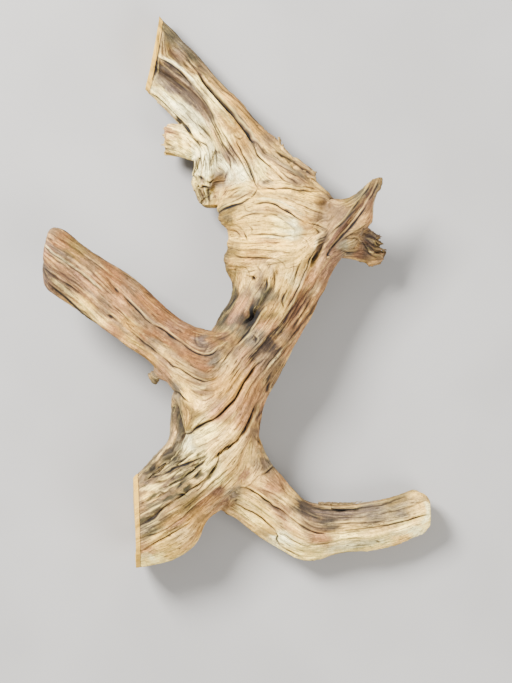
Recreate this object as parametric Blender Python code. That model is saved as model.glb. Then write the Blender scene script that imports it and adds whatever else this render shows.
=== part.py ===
"""A weathered piece of driftwood, lying on the table as it comes to rest.

The wood grew as one piece, so it is one object: a trunk that twists up from
a sawn butt to a burl, and six limbs that leave it. Everything here is in
millimetres and is turned into metres when a mesh is made. X and Y lie in the
table and Z is up, with the origin under the middle of the piece.
"""

import bmesh
import bpy
import numpy as np
from mathutils import Vector, noise

MM = 0.001

# How finely the wood is shaped, in mm, and the triangles that it may keep.
RING_POINTS = 56
RING_STEP = 4.0
VOXEL = 2.2
SMOOTHING_PASSES = 9
TRIANGLES = 11400

# How deep the table plane cuts into the three resting spots, in mm.
REST_CUT = 0.9

# Pale tan, as linear red, green, blue and opacity.
WOOD_COLOUR = (0.50, 0.34, 0.19, 1.0)

# Each limb is a row of ribs, and each rib is one cross-section:
# left edge x and y, right edge x and y, height of its middle, half thickness.
TRUNK = [
    (-132, -222, -126, -304, 44, 42),
    (-111, -202, -98, -299, 44, 43),
    (-97, -188, -62, -288, 46, 43),
    (-84, -175, -43, -273, 49, 42),
    (-73, -163, -33, -249, 52, 41),
    (-71, -148, -14, -232, 55, 41),
    (-71, -130, 6, -208, 57, 41),
    (-66, -112, 17, -180, 58, 40),
    (-54, -92, 24, -150, 58, 39),
    (-42, -70, 31, -117, 58, 39),
    (-29, -47, 52, -86, 58, 40),
    (-18, -29, 68, -54, 58, 41),
    (-5, -9, 82, -25, 58, 42),
    (-1, 8, 95, 3, 57, 43),
    (-7, 25, 102, 25, 56, 44),
    (-9, 46, 108, 44, 55, 44),
    (-10, 64, 108, 62, 54, 43),
    (-18, 82, 106, 82, 52, 41),
    (-22, 100, 96, 98, 48, 36),
    (-16, 114, 78, 112, 44, 26),
]
SLAB = [
    (20, 50, 104, 84, 50, 34),
    (-4, 84, 106, 100, 48, 35),
    (-18, 108, 89, 117.5, 45, 34),
    (-27, 136, 54, 151, 42, 32),
    (-36, 154, 26, 180.5, 39, 30),
    (-44, 168, 5, 209, 36, 29),
    (-62, 187, -18, 230, 33, 28),
    (-81, 206, -40, 254, 30, 28),
    (-97, 220, -57, 273, 28, 28),
    (-112, 236, -73, 290, 27, 27),
    (-132, 258, -94, 312, 26, 26),
]
LEFT_BRANCH = [
    (-208, 21, -202, 65, 84, 25),
    (-201, 3, -191, 69, 83, 27),
    (-181, -13, -165, 50, 80, 27),
    (-152, -35, -133, 30, 77, 26),
    (-123, -54, -105, 11, 74, 26),
    (-96, -69, -79, -14, 71, 27),
    (-77, -89, -55, -33, 68, 29),
    (-63, -113, -27, -43, 65, 33),
    (-56, -140, 0, -40, 62, 37),
    (-30, -140, 22, -38, 60, 34),
]
RIGHT_BRANCH = [
    (-20, -215, 18, -148, 40, 30),
    (-18, -236, 30, -172, 37, 30),
    (0, -246, 41, -192, 34, 29),
    (20, -261, 60, -212, 31, 27),
    (42, -276, 74, -225, 28, 26),
    (62, -289, 86, -230, 29, 26),
    (82, -294, 98, -231, 28, 25),
    (110, -288, 118, -232, 27, 24),
    (148, -284, 146, -231, 25, 23),
    (181, -276, 174, -226, 23, 22),
    (206, -266, 199, -219, 22, 21),
    (215, -256, 213, -227, 21.5, 17),
]
SPIKE = [
    (56, -18, 78, -34, 60, 20),
    (66, 14, 96, 4, 63, 22),
    (78, 50, 112, 34, 66, 21),
    (96, 86, 132, 52, 68, 20),
    (106, 99, 145, 70, 70, 17),
    (118, 100, 148, 78, 73, 13),
    (130, 106, 149, 94, 78, 9),
    (141, 116, 153, 107, 84, 6),
    (149, 122, 158, 119, 89, 3.5),
]
RIGHT_STUB = [
    (80, 64, 80, 30, 52, 24),
    (104, 76, 104, 36, 48, 23),
    (126, 76, 122, 37, 44, 21),
    (145, 70, 139, 34, 40, 19),
    (154, 60, 150, 33, 37, 17),
]
LEFT_STUB = [
    (-22, 120, -18, 160, 40, 20),
    (-42, 142, -40, 177, 36, 18),
    (-60, 147, -59, 181, 33, 17),
    (-79, 151, -77, 182, 31, 16),
]
KNOB = [
    (-46, 150, -2, 158, 38, 24),
    (-46, 134, -4, 138, 37, 24),
    (-48, 118, -10, 118, 36, 21),
    (-43, 105, -14, 104, 35, 16),
    (-39, 94, -18, 95, 35, 12),
]
TWIG = [
    (-74, -96, -68, -84, 62, 6),
    (-84, -92, -80, -78, 60, 6),
    (-93, -90, -85, -84, 58, 5),
    (-92, -96, -85, -94, 57, 4),
    (-90, -100, -85, -98, 56, 3),
]
LATH = [
    (-55, 178, -48, 184, 30, 8),
    (-69, 193, -62, 199, 27, 6),
    (-82, 205, -74, 213, 24, 6),
    (-99, 221, -90, 226, 22, 6),
]
UPPER_FLAKE = [
    (28, 172, 36, 178, 42, 7),
    (38, 162, 45, 169, 42, 6),
    (46, 154, 52, 160, 43, 4),
]
LOWER_FLAKE = [
    (58, 138, 66, 144, 46, 8),
    (70, 124, 80, 135, 48, 7),
    (78, 118, 89, 127, 49, 4),
]

# Limb, flutes round it, their depth in mm, and how they wind along it, in degrees for each mm.
LIMBS = [
    ("trunk", TRUNK, 2.0, 3.2, 0.30),
    ("slab", SLAB, 1.7, 2.6, 0.10),
    ("left_branch", LEFT_BRANCH, 1.7, 2.4, 0.12),
    ("right_branch", RIGHT_BRANCH, 1.6, 2.2, 0.05),
    ("spike", SPIKE, 1.2, 1.6, 0.0),
    ("right_stub", RIGHT_STUB, 1.6, 2.0, 0.2),
    ("left_stub", LEFT_STUB, 1.4, 1.2, 0.0),
    ("knob", KNOB, 1.6, 2.4, 0.0),
    ("twig", TWIG, 1.0, 0.4, 0.0),
    ("lath", LATH, 1.0, 0.4, 0.0),
    ("upper_flake", UPPER_FLAKE, 1.0, 0.3, 0.0),
    ("lower_flake", LOWER_FLAKE, 1.0, 0.3, 0.0),
]

# Splinters left on a broken end: where, which way, how far they spread in plan and in height,
# how many, how thick and how long.
BROKEN_ENDS = [
    ((151, 47, 38), (1.0, 0.1, -0.1), 14, 12, 14, 6.0, 15.0),
    ((-74, 166, 31), (-1.0, 0.1, 0.0), 12, 11, 9, 7.0, 7.0),
    ((151, 116, 85), (0.45, 0.85, 0.3), 5, 3, 3, 4.5, 10.0),
]

# Furrows, checks and holes seen from above: half width, depth and the points they pass.
# A depth under nothing is a ridge.
FURROWS = [
    # The sawn limb: its long scoop, the groove by the cut and the checks that meet at the burl.
    (13, 8, [(-92, 243), (-72, 231), (-50, 217), (-36, 201), (-22, 183)]),
    (5, 4, [(-90, 250), (-70, 240), (-50, 226), (-36, 207), (-27, 190)]),
    (2.5, 2.5, [(-80, 286), (-84, 268), (-86, 256)]),
    (4, 5, [(-48, 247), (-30, 222), (-10, 199), (0, 187), (8, 175), (15, 163), (20, 158)]),
    (3.5, 4, [(20, 158), (24, 148), (38, 136), (50, 123), (60, 117)]),
    (4.5, 3, [(18, 160), (30, 152), (45, 146), (60, 140), (75, 130), (86, 119)]),
    (3.2, 4, [(-93, 219), (-75, 202), (-55, 180), (-40, 163), (-35, 156)]),
    (2.2, 2, [(-40, 180), (-32, 170), (-27, 163)]),
    (3.5, 3.5, [(-25, 187), (-12, 160), (0, 140), (10, 128), (18, 118), (24, 110)]),
    (2.8, 3, [(8, 146), (14, 133), (19, 120), (24, 111)]),
    (3, 2, [(-60, 262), (-35, 238), (-5, 206), (20, 176), (44, 154)]),
    # The burl, where the wood is folded crosswise.
    (3.5, 3.5, [(24, 110), (40, 111), (60, 111), (75, 107), (92, 108)]),
    (3.5, 3.5, [(20, 105), (17, 96), (5, 91), (-5, 87), (-19, 80)]),
    (3, 2.4, [(12, 91), (30, 94), (42, 91), (55, 85), (73, 75)]),
    (3, 2.2, [(3, 76), (12, 81), (30, 83), (42, 80)]),
    (2.5, 1.5, [(66, 95), (80, 90), (95, 84)]),
    (3.2, 2.8, [(12, 60), (40, 60.5), (62, 59.5), (85, 61), (92, 64)]),
    (4.5, 3.5, [(-4, 42), (5, 36), (20, 35), (38, 34), (44, 33)]),
    (8, -4, [(34, 22), (26, 8), (15, -8), (4, -26)]),
    (5, 5, [(46, 28), (43, 12), (40, 3), (33, -8), (25, -18), (19, -24)]),
    (5.5, 13, [(10, -34), (15, -28), (20, -22)]),
    (3, 5, [(17, 13), (19, 12)]),
    (7, 6, [(-27, 108), (-18, 117), (-10, 126)]),
    (3, -2, [(30, 117), (34, 118)]),
    # The trunk and the spike.
    (3.5, 3.5, [(-22, -95), (-5, -68), (5, -55), (15, -45), (22, -33), (33, -20)]),
    (3.5, 3, [(50, -35), (60, -20), (70, -3), (78, 15), (83, 30)]),
    (5, 6, [(82, 26), (91, 45), (99, 66)]),
    (3, 3, [(146, 119), (138, 107), (122, 83), (112, 70)]),
    (3, 3, [(153, 120), (145, 105), (125, 77), (115, 64), (100, 42)]),
    (5, -3, [(100, 46), (115, 69), (132, 95)]),
    (3, 2.4, [(98, 7), (75, -28), (60, -50), (40, -75), (30, -90)]),
    (9, 2, [(78, 5), (65, -20), (50, -45), (35, -60), (15, -85)]),
    # The upper left branch.
    (3.5, 3, [(-140, 12), (-120, -5), (-100, -30), (-80, -42), (-50, -62), (-30, -70), (-17, -63)]),
    (3.5, 3, [(-112, -45), (-85, -66), (-55, -85), (-35, -97), (-22, -95)]),
    (3, 2, [(-205, 50), (-170, 28), (-140, -2), (-118, -26)]),
    (3, 1.8, [(-205, 20), (-190, 15), (-165, -8), (-140, -28)]),
    (2.6, 2.4, [(-67, -105), (-58, -113), (-49, -120)]),
    # The lower trunk, where one strand winds over the other and the surface is rotted.
    (5.5, 6, [(-57, -154), (-42, -147), (-20, -136), (0, -117), (10, -98), (24, -80)]),
    (4.5, 5, [(27, -114), (15, -143), (2, -162), (-15, -173), (-22, -181)]),
    (4.5, 4.5, [(-18, -185), (-30, -203), (-57, -221), (-83, -239), (-106, -255)]),
    (6, 6, [(-66, -118), (-60, -145), (-60, -160), (-80, -185), (-101, -201)]),
    (3.5, 4, [(-76, -199), (-60, -187), (-48, -182), (-34, -177)]),
    (3.5, 4, [(-57, -201), (-46, -193), (-38, -186)]),
    (3, 3, [(-87, -199), (-70, -189)]),
    (3, 3.5, [(-92, -225), (-78, -219), (-66, -214)]),
    (4, 4, [(-60, -222), (-55, -220)]),
    (2.8, 2, [(-102, -268), (-60, -247), (-20, -215), (-5, -200)]),
    (2.8, 2.4, [(-100, -280), (-80, -269), (-45, -250)]),
    # The lower right branch.
    (3.5, 3.5, [(5, -212), (25, -221), (55, -243), (85, -262), (120, -262), (180, -256), (212, -243)]),
    (3.5, 3.5, [(0, -232), (20, -243), (40, -260), (44, -268), (45, -278)]),
    (3, 2.2, [(45, -262), (60, -272), (75, -280), (100, -275), (140, -269)]),
    (3, 2.6, [(72, -231), (100, -236), (138, -236)]),
    (2.6, 2.4, [(28, -200), (42, -190)]),
]

# Lines that only lead the grain: along the edges of the limbs, and across the burl.
GRAIN = [
    [(-198, 66), (-160, 44), (-120, 20), (-88, -8), (-60, -31), (-35, -43)],
    [(-198, 2), (-160, -30), (-120, -57), (-89, -81), (-70, -104), (-62, -120)],
    [(-66, -124), (-71, -150), (-92, -182), (-112, -202)],
    [(-108, -298), (-70, -293), (-40, -272), (-16, -236), (8, -200), (22, -162)],
    [(31, -120), (25, -150), (35, -178), (60, -213), (90, -231), (140, -231), (200, -218)],
    [(-16, -236), (20, -260), (60, -286), (98, -289), (140, -284), (208, -260)],
    [(35, -110), (48, -87), (72, -42), (95, -2), (107, 22)],
    [(-83, 300), (-44, 260), (0, 213), (40, 168), (70, 138), (107, 101)],
    [(-95, 222), (-57, 178), (-36, 150)],
    [(-20, 95), (20, 99), (60, 100), (100, 96)],
    [(-10, 68), (30, 70), (60, 68), (90, 72)],
    [(-10, 50), (30, 47), (60, 45), (80, 50)],
    [(-3, 2), (-8, -14), (-22, -34), (-30, -44)],
    [(112, 36), (140, 33), (158, 36)],
    [(118, 60), (140, 56), (160, 50)],
    [(107, 101), (126, 100), (145, 117)],
    [(-40, -50), (-12, -50), (6, -36)],
    [(0, -40), (-5, -20), (5, 0), (22, 25)],
]

# The two sawn ends: a point of the cut, and the way that it faces.
SAW_CUTS = [
    ((-95.0, 255, 10), (-0.98, 0.19, 0.11)),
    ((-113.2, -240, 20), (-1.0, -0.03, 0.08)),
]

# Where it touches the table: the middle of each spot and how far round it the wood is lowered.
REST_SPOTS = [(-76, 238, 26), (-92, -254, 36), (176, -249, 28)]

# How the grain wanders, in mm: the cell of the map, how wide a ridge is and how high.
GRAIN_CELL = 3.0
GRAIN_EDGE = (-324.0, -420.0, 324.0, 420.0)
RIDGE_HEIGHT = 0.55
LUMP_HEIGHT = 1.3
WRAP_RADIUS = 32.0

# Rotted and knobbly places: x, y, how far they reach and how rough they are.
ROUGH_SPOTS = [
    (-30, 122, 26, 2.0),
    (-62, -200, 48, 1.2),
    (150, 48, 18, 1.6),
    (-70, 165, 16, 1.2),
]


def curve_through(rows, step):
    """The rows' values along a smooth curve through them, about one step apart."""
    rows = np.array(rows, float)
    middles = (rows[:, 0:2] + rows[:, 2:4]) / 2
    padded = np.vstack([2 * rows[0] - rows[1], rows, 2 * rows[-1] - rows[-2]])
    found = []
    for i in range(len(rows) - 1):
        a, b, c, d = padded[i : i + 4]
        length = np.linalg.norm(middles[i + 1] - middles[i])
        for t in np.arange(0, 1, step / max(length, step)):
            found.append(
                b
                + 0.5 * t * (c - a)
                + t * t * (a - 2.5 * b + 2 * c - 0.5 * d)
                + t**3 * (1.5 * (b - c) + 0.5 * (d - a))
            )
    found.append(rows[-1])
    return np.array(found)


def flute(angle, along, limb, count, depth, twist):
    """How far the wood stands out here: rounded ridges with sharp valleys between them."""
    turned = angle + np.radians(twist) * along
    at = Vector((count * np.cos(turned), count * np.sin(turned), along / 150 + 7.3 * limb))
    return depth * (2.2 * abs(noise.noise(at)) - 0.6)


def add_limb(bm, limb, ribs, flutes, depth, twist):
    """One closed fluted tube through the ribs."""
    ribs = curve_through(ribs, RING_STEP)
    along = 0.0
    rings = []
    for i, (lx, ly, rx, ry, height, thick) in enumerate(ribs):
        if i:
            moved = (ribs[i, 0:4] - ribs[i - 1, 0:4]).reshape(2, 2).mean(axis=0)
            along += float(np.hypot(*moved))
        middle = np.array([(lx + rx) / 2, (ly + ry) / 2, height])
        side = np.array([(rx - lx) / 2, (ry - ly) / 2, 0.0])
        half = np.linalg.norm(side)
        side = side / half
        ring = []
        for k in range(RING_POINTS):
            angle = 2 * np.pi * k / RING_POINTS
            out = flute(angle, along, limb, flutes, min(depth, 0.12 * min(half, thick)), twist)
            point = middle + side * (half + out) * np.cos(angle)
            point[2] += (thick + out) * np.sin(angle)
            ring.append(bm.verts.new(point * MM))
        rings.append(ring)
    for first, second in zip(rings, rings[1:]):
        for k in range(RING_POINTS):
            n = (k + 1) % RING_POINTS
            bm.faces.new((first[k], first[n], second[n], second[k]))
    bm.faces.new(rings[0][::-1])
    bm.faces.new(rings[-1])


def add_splinters(bm, number, at, way, reach, rise, count, thick, length):
    """Tapered slivers that stand out of a broken end."""
    chance = np.random.default_rng(40 + number)
    way = Vector(way).normalized()
    side = way.cross(Vector((0, 0, 1))).normalized()
    for _ in range(count):
        spread = chance.uniform(-1, 1, 2)
        foot = Vector(at) + side * (reach * spread[0]) + Vector((0, 0, rise * spread[1]))
        tip = way * (length * chance.uniform(0.4, 1.0)) + side * chance.uniform(-2, 2)
        width = thick * chance.uniform(0.6, 1.0)
        rings = []
        for share, size in ((-0.8, 1.0), (0.3, 0.85), (1.0, 0.35)):
            middle = foot + tip * share
            ring = []
            for k in range(6):
                angle = k * np.pi / 3 + spread[0]
                edge = side * (width * size * np.cos(angle))
                edge += Vector((0, 0, 0.6 * width * size * np.sin(angle)))
                ring.append(bm.verts.new((middle + edge) * MM))
            rings.append(ring)
        for first, second in zip(rings, rings[1:]):
            for k in range(6):
                n = (k + 1) % 6
                bm.faces.new((first[k], first[n], second[n], second[k]))
        bm.faces.new(rings[0][::-1])
        bm.faces.new(rings[-1])


def object_of(name, bm):
    mesh = bpy.data.meshes.new(name)
    bm.to_mesh(mesh)
    bm.free()
    made = bpy.data.objects.new(name, mesh)
    bpy.context.scene.collection.objects.link(made)
    return made


def apply_modifier(obj, kind, **settings):
    """Adds one modifier with these settings and applies it to the mesh."""
    modifier = obj.modifiers.new(kind.lower(), kind)
    for key, value in settings.items():
        setattr(modifier, key, value)
    bpy.context.view_layer.update()
    graph = bpy.context.evaluated_depsgraph_get()
    shaped = bpy.data.meshes.new_from_object(obj.evaluated_get(graph))
    obj.modifiers.clear()
    old = obj.data
    obj.data = shaped
    bpy.data.meshes.remove(old)


def grown_wood():
    """All limbs grown into one skin."""
    bm = bmesh.new()
    for number, (_, ribs, flutes, depth, twist) in enumerate(LIMBS):
        add_limb(bm, number, ribs, flutes, depth, twist)
    for number, (at, way, reach, rise, count, thick, length) in enumerate(BROKEN_ENDS):
        add_splinters(bm, number, at, way, reach, rise, count, thick, length)
    bmesh.ops.recalc_face_normals(bm, faces=bm.faces)
    wood = object_of("driftwood", bm)
    apply_modifier(wood, "REMESH", mode="VOXEL", voxel_size=VOXEL * MM)
    apply_modifier(wood, "SMOOTH", factor=0.5, iterations=SMOOTHING_PASSES)
    return wood


def line_samples(points, step):
    """Points along a line and the way that it runs at each."""
    points = np.array(points, float)
    at = []
    way = []
    for a, b in zip(points, points[1:]):
        length = np.linalg.norm(b - a)
        count = max(int(length / step), 1)
        for i in range(count):
            at.append(a + (b - a) * (i + 0.5) / count)
            way.append((b - a) / length)
    return np.array(at), np.array(way)


def grain_map():
    """The way that the grain runs on a grid in plan: twice its angle, as cosine and sine."""
    left, low, right, high = GRAIN_EDGE
    xs = np.arange(left, right + 1, 4 * GRAIN_CELL)
    ys = np.arange(low, high + 1, 4 * GRAIN_CELL)
    grid = np.stack(np.meshgrid(xs, ys, indexing="ij"), axis=-1)
    total = np.zeros(grid.shape)
    lines = [points for _, _, points in FURROWS] + GRAIN
    for points in lines:
        at, way = line_samples(points, 5.0)
        turned = np.stack([way[:, 0] ** 2 - way[:, 1] ** 2, 2 * way[:, 0] * way[:, 1]], axis=-1)
        gap = ((grid[:, :, None, :] - at) ** 2).sum(axis=-1) + 60.0
        total += (turned / gap[..., None] ** 1.8).sum(axis=2)
    fine = resample(total, 4)
    return fine / (np.linalg.norm(fine, axis=-1, keepdims=True) + 1e-30)


def resample(grid, times):
    """The grid made finer by straight interpolation."""
    for axis in (0, 1):
        count = grid.shape[axis]
        at = np.arange((count - 1) * times + 1) / times
        first = np.minimum(at.astype(int), count - 2)
        share = at - first
        shape = [1] * grid.ndim
        shape[axis] = len(at)
        share = share.reshape(shape)
        grid = np.take(grid, first, axis) * (1 - share) + np.take(grid, first + 1, axis) * share
    return grid


def look_up(grid, at):
    """The grid's value at each of these places in plan."""
    left, low, _, _ = GRAIN_EDGE
    x = np.clip((at[..., 0] - left) / GRAIN_CELL, 0, grid.shape[0] - 1.001)
    y = np.clip((at[..., 1] - low) / GRAIN_CELL, 0, grid.shape[1] - 1.001)
    i = x.astype(int)
    j = y.astype(int)
    u = x - i
    v = y - j
    if grid.ndim == 3:
        u = u[..., None]
        v = v[..., None]
    return (
        grid[i, j] * (1 - u) * (1 - v)
        + grid[i + 1, j] * u * (1 - v)
        + grid[i, j + 1] * (1 - u) * v
        + grid[i + 1, j + 1] * u * v
    )


def combed(directions, seed, softness, reach):
    """Noise drawn out along the grain, so that it lies in long ridges."""
    chance = np.random.default_rng(seed)
    rough = chance.normal(size=directions.shape[:2])
    for _ in range(softness):
        for axis in (0, 1):
            rough = (rough + np.roll(rough, 1, axis) + np.roll(rough, -1, axis)) / 3
    left, low, _, _ = GRAIN_EDGE
    xs = left + GRAIN_CELL * np.arange(directions.shape[0])
    ys = low + GRAIN_CELL * np.arange(directions.shape[1])
    start = np.stack(np.meshgrid(xs, ys, indexing="ij"), axis=-1)
    total = rough.copy()
    for sign in (1, -1):
        at = start.copy()
        before = None
        for _ in range(int(reach / GRAIN_CELL)):
            turned = look_up(directions, at)
            half = np.arctan2(turned[..., 1], turned[..., 0]) / 2
            way = sign * np.stack([np.cos(half), np.sin(half)], axis=-1)
            if before is not None:
                way *= np.where((way * before).sum(axis=-1, keepdims=True) < 0, -1, 1)
            at = at + way * GRAIN_CELL
            total += look_up(rough, at)
            before = way
    return (total - total.mean()) / total.std()


def beside(points, line):
    """How far each point is from the line in plan, and how near it is to the line's ends."""
    line = np.array(line, float)
    nearest = np.full(len(points), 1e9)
    along = np.zeros(len(points))
    walked = 0.0
    for a, b in zip(line, line[1:]):
        length = np.linalg.norm(b - a)
        share = np.clip((points - a) @ (b - a) / length**2, 0, 1)
        gap = np.linalg.norm(points - a - share[:, None] * (b - a), axis=1)
        closer = gap < nearest
        nearest[closer] = gap[closer]
        along[closer] = walked + share[closer] * length
        walked += length
    return nearest, np.minimum(along, walked - along), walked


def wrapped(points, normals):
    """Where each point falls in plan when the skin is unrolled from the top downwards."""
    angle = np.arccos(np.clip(normals[:, 2], -1, 1))
    flat = normals[:, :2] / (np.linalg.norm(normals[:, :2], axis=1, keepdims=True) + 1e-9)
    return points[:, :2] + flat * (WRAP_RADIUS * (angle - np.sin(angle)))[:, None]


def skin_of(mesh):
    points = np.empty(len(mesh.vertices) * 3, np.float32)
    mesh.vertices.foreach_get("co", points)
    normals = np.empty(len(mesh.vertices) * 3, np.float32)
    mesh.vertices.foreach_get("normal", normals)
    return points.reshape(-1, 3).astype(float) / MM, normals.reshape(-1, 3).astype(float)


def carve(wood):
    """Works the grain, the furrows, the rot and the resting spots into the skin."""
    points, normals = skin_of(wood.data)
    directions = grain_map()
    plan = wrapped(points, normals)
    ridges = 1.3 - 2.2 * np.abs(look_up(combed(directions, 3, 1, 60), plan))
    lumps = look_up(combed(directions, 8, 6, 24), plan)
    out = RIDGE_HEIGHT * np.maximum(ridges, -2.0) + LUMP_HEIGHT * lumps
    thin = np.clip((np.hypot(points[:, 0] - 156, points[:, 1] - 121) - 8) / 30, 0.15, 1)
    out *= thin
    upward = np.clip(normals[:, 2] * 2.5 + 0.2, 0, 1)
    for width, depth, line in FURROWS:
        gap, end, length = beside(points[:, :2], line)
        taper = np.clip((end + 2) / min(10, length / 2 + 2), 0, 1)
        cut = np.clip(1 - gap / (width * (0.5 + 0.5 * taper)), 0, 1) ** 1.4
        out -= depth * cut * taper * upward
    for x, y, reach, rough in ROUGH_SPOTS:
        near = np.clip(1.4 * (1 - np.hypot(points[:, 0] - x, points[:, 1] - y) / reach), 0, 1)
        for i in np.nonzero(near > 0)[0]:
            at = Vector(points[i] / 9.0)
            out[i] += near[i] * rough * 2.2 * (abs(noise.noise(at)) * 2 - 0.5)
    for x, y, reach in REST_SPOTS:
        near = np.hypot(points[:, 0] - x, points[:, 1] - y)
        worn = np.clip(1.5 - near / reach, 0, 1) * np.clip(-3 * normals[:, 2], 0, 1)
        out *= 1 - 0.85 * worn
    points += normals * out[:, None]
    for x, y, reach in REST_SPOTS:
        near = np.hypot(points[:, 0] - x, points[:, 1] - y)
        below = normals[:, 2] < -0.3
        low = points[(near < 0.55 * reach) & below, 2].min()
        share = np.clip(1 - (near / reach) ** 2, 0, 1) ** 2
        points[:, 2] -= share * np.clip(-normals[:, 2], 0, 1) * (low + REST_CUT)
    wood.data.vertices.foreach_set("co", (points * MM).astype(np.float32).ravel())
    wood.data.update()
    return points


def plank(name, at, way, size):
    """A block with one face through this point, facing against the way given."""
    way = Vector(way).normalized()
    bm = bmesh.new()
    bmesh.ops.create_cube(bm, size=size * MM)
    block = object_of(name, bm)
    block.rotation_mode = "QUATERNION"
    block.rotation_quaternion = way.to_track_quat("Z", "Y")
    block.location = (Vector(at) + way * size / 2) * MM
    block.hide_render = True
    block.display_type = "WIRE"
    return block


def cut_with(wood, block):
    bpy.context.view_layer.update()
    apply_modifier(wood, "BOOLEAN", operation="DIFFERENCE", object=block, solver="EXACT")


def put_origin_under_middle(wood):
    points, _ = skin_of(wood.data)
    middle = (points.min(axis=0) + points.max(axis=0)) / 2
    points[:, :2] -= middle[:2]
    wood.data.vertices.foreach_set("co", (points * MM).astype(np.float32).ravel())
    wood.data.update()


def paint(wood):
    """Bare, weathered wood: pale tan and dull."""
    material = bpy.data.materials.new("weathered_wood")
    material.use_nodes = True
    surface = material.node_tree.nodes["Principled BSDF"]
    surface.inputs["Base Color"].default_value = WOOD_COLOUR
    surface.inputs["Roughness"].default_value = 0.8
    surface.inputs["Metallic"].default_value = 0.0
    wood.data.materials.clear()
    wood.data.materials.append(material)
    wood.data.shade_smooth()
    wood.data.set_sharp_from_angle(angle=np.radians(50))


for old in list(bpy.data.objects):
    bpy.data.objects.remove(old)

wood = grown_wood()
carve(wood)
apply_modifier(wood, "DECIMATE", ratio=TRIANGLES / (2 * len(wood.data.polygons)))
for number, (at, way) in enumerate(SAW_CUTS):
    cut_with(wood, plank(f"saw_{number}", at, way, 160))
cut_with(wood, plank("table_top", (0, 0, 0), (0, 0, -1), 900))
put_origin_under_middle(wood)
paint(wood)
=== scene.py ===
"""A weathered piece of driftwood on a pale floor, seen from straight above.

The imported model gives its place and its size. The wood is grown here once more from
the same limbs, but fine enough for its fibres, its drying checks and its stains, and
stands in for the plain solid. Lengths are in millimetres until a mesh is made. Plan
places are those of the drawing, whose zero lies DRAWING_ZERO from the model's.
"""

import bmesh
import bpy
import numpy as np
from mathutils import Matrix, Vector, noise


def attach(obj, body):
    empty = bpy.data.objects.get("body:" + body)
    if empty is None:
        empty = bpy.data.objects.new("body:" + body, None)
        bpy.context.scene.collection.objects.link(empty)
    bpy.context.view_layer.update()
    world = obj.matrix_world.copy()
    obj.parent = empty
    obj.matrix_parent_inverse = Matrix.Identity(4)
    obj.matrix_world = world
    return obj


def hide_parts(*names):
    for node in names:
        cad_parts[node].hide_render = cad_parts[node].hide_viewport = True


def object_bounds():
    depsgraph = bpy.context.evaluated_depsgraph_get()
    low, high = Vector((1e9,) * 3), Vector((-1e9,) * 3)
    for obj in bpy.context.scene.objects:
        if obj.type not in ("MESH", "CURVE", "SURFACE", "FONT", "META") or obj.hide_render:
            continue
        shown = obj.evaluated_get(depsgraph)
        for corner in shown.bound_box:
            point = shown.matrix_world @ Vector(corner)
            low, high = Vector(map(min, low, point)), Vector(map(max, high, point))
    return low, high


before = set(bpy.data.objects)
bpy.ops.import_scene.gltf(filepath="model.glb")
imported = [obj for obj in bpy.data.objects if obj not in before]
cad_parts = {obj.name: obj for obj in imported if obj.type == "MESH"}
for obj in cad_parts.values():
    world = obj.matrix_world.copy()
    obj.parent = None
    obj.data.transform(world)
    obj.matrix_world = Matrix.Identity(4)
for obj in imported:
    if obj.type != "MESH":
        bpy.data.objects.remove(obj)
cad_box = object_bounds()

MM = 0.001
FAR = 1e9
DRAWING_ZERO = (-2.002, -0.861)

# How finely the wood is shaped, in mm, and the triangles that it may keep.
RING_POINTS = 56
RING_STEP = 4.0
VOXEL = 1.45
SMOOTHING_PASSES = 20
TRIANGLES = 190000

# How far along a limb one flute holds, in mm, and how deep one may be, as a share of the limb.
FLUTE_LENGTH = 150.0
FLUTE_SHARE = 0.12

# A splinter's rings: how far along it each is, and how wide, as shares of the whole.
SPLINTER_TAPER = ((-0.8, 1.0), (0.3, 0.85), (1.0, 0.35))

# How deep the floor cuts into the three resting spots, in mm.
REST_CUT = 0.9

# The camera: how far above the wood's middle, how high that is and how much it sees there,
# in mm, and the height of the picture behind its lens.
CAMERA_ABOVE = 3000.0
WOOD_HEIGHT = 45.0
VIEW_HEIGHT = 744.5
VIEW_MIDDLE = (21.8, -54.5)
SENSOR = 24.0

# The lamps: where each hangs, how wide it is, in metres, its power in watts and its colour.
LAMPS = {
    "window": ((-1.4, 1.3, 1.9), 0.9, 355, (1.0, 0.98, 0.95)),
    "far side": ((1.5, -1.4, 1.7), 1.6, 105, (1.0, 0.97, 0.91)),
}
LAMPS_AIM = (0, 0, 0.05)
ROOM_COLOUR = (0.95, 0.97, 1.0, 1.0)
ROOM_STRENGTH = 0.60

# The sheet under the wood: its width in metres, and the two greys that it runs between.
FLOOR_SIZE = 8.0
FLOOR_COLOURS = ((0.29, 0.285, 0.28, 1.0), (0.32, 0.315, 0.31, 1.0))

# Each limb is a row of ribs, and each rib is one cross-section:
# left edge x and y, right edge x and y, height of its middle, half thickness.
TRUNK = [
    (-132, -222, -126, -304, 44, 42),
    (-111, -202, -98, -299, 44, 43),
    (-97, -188, -62, -288, 46, 43),
    (-84, -175, -43, -273, 49, 42),
    (-73, -163, -33, -249, 52, 41),
    (-71, -148, -14, -232, 55, 41),
    (-71, -130, 6, -208, 57, 41),
    (-66, -112, 17, -180, 58, 40),
    (-54, -92, 24, -150, 58, 39),
    (-42, -70, 31, -117, 58, 39),
    (-29, -47, 52, -86, 58, 40),
    (-18, -29, 68, -54, 58, 41),
    (-5, -9, 82, -25, 58, 42),
    (-1, 8, 95, 3, 57, 43),
    (-7, 25, 102, 25, 56, 44),
    (-9, 46, 108, 44, 55, 44),
    (-10, 64, 108, 62, 54, 43),
    (-18, 82, 106, 82, 52, 41),
    (-22, 100, 96, 98, 48, 36),
    (-16, 114, 78, 112, 44, 26),
]
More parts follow.
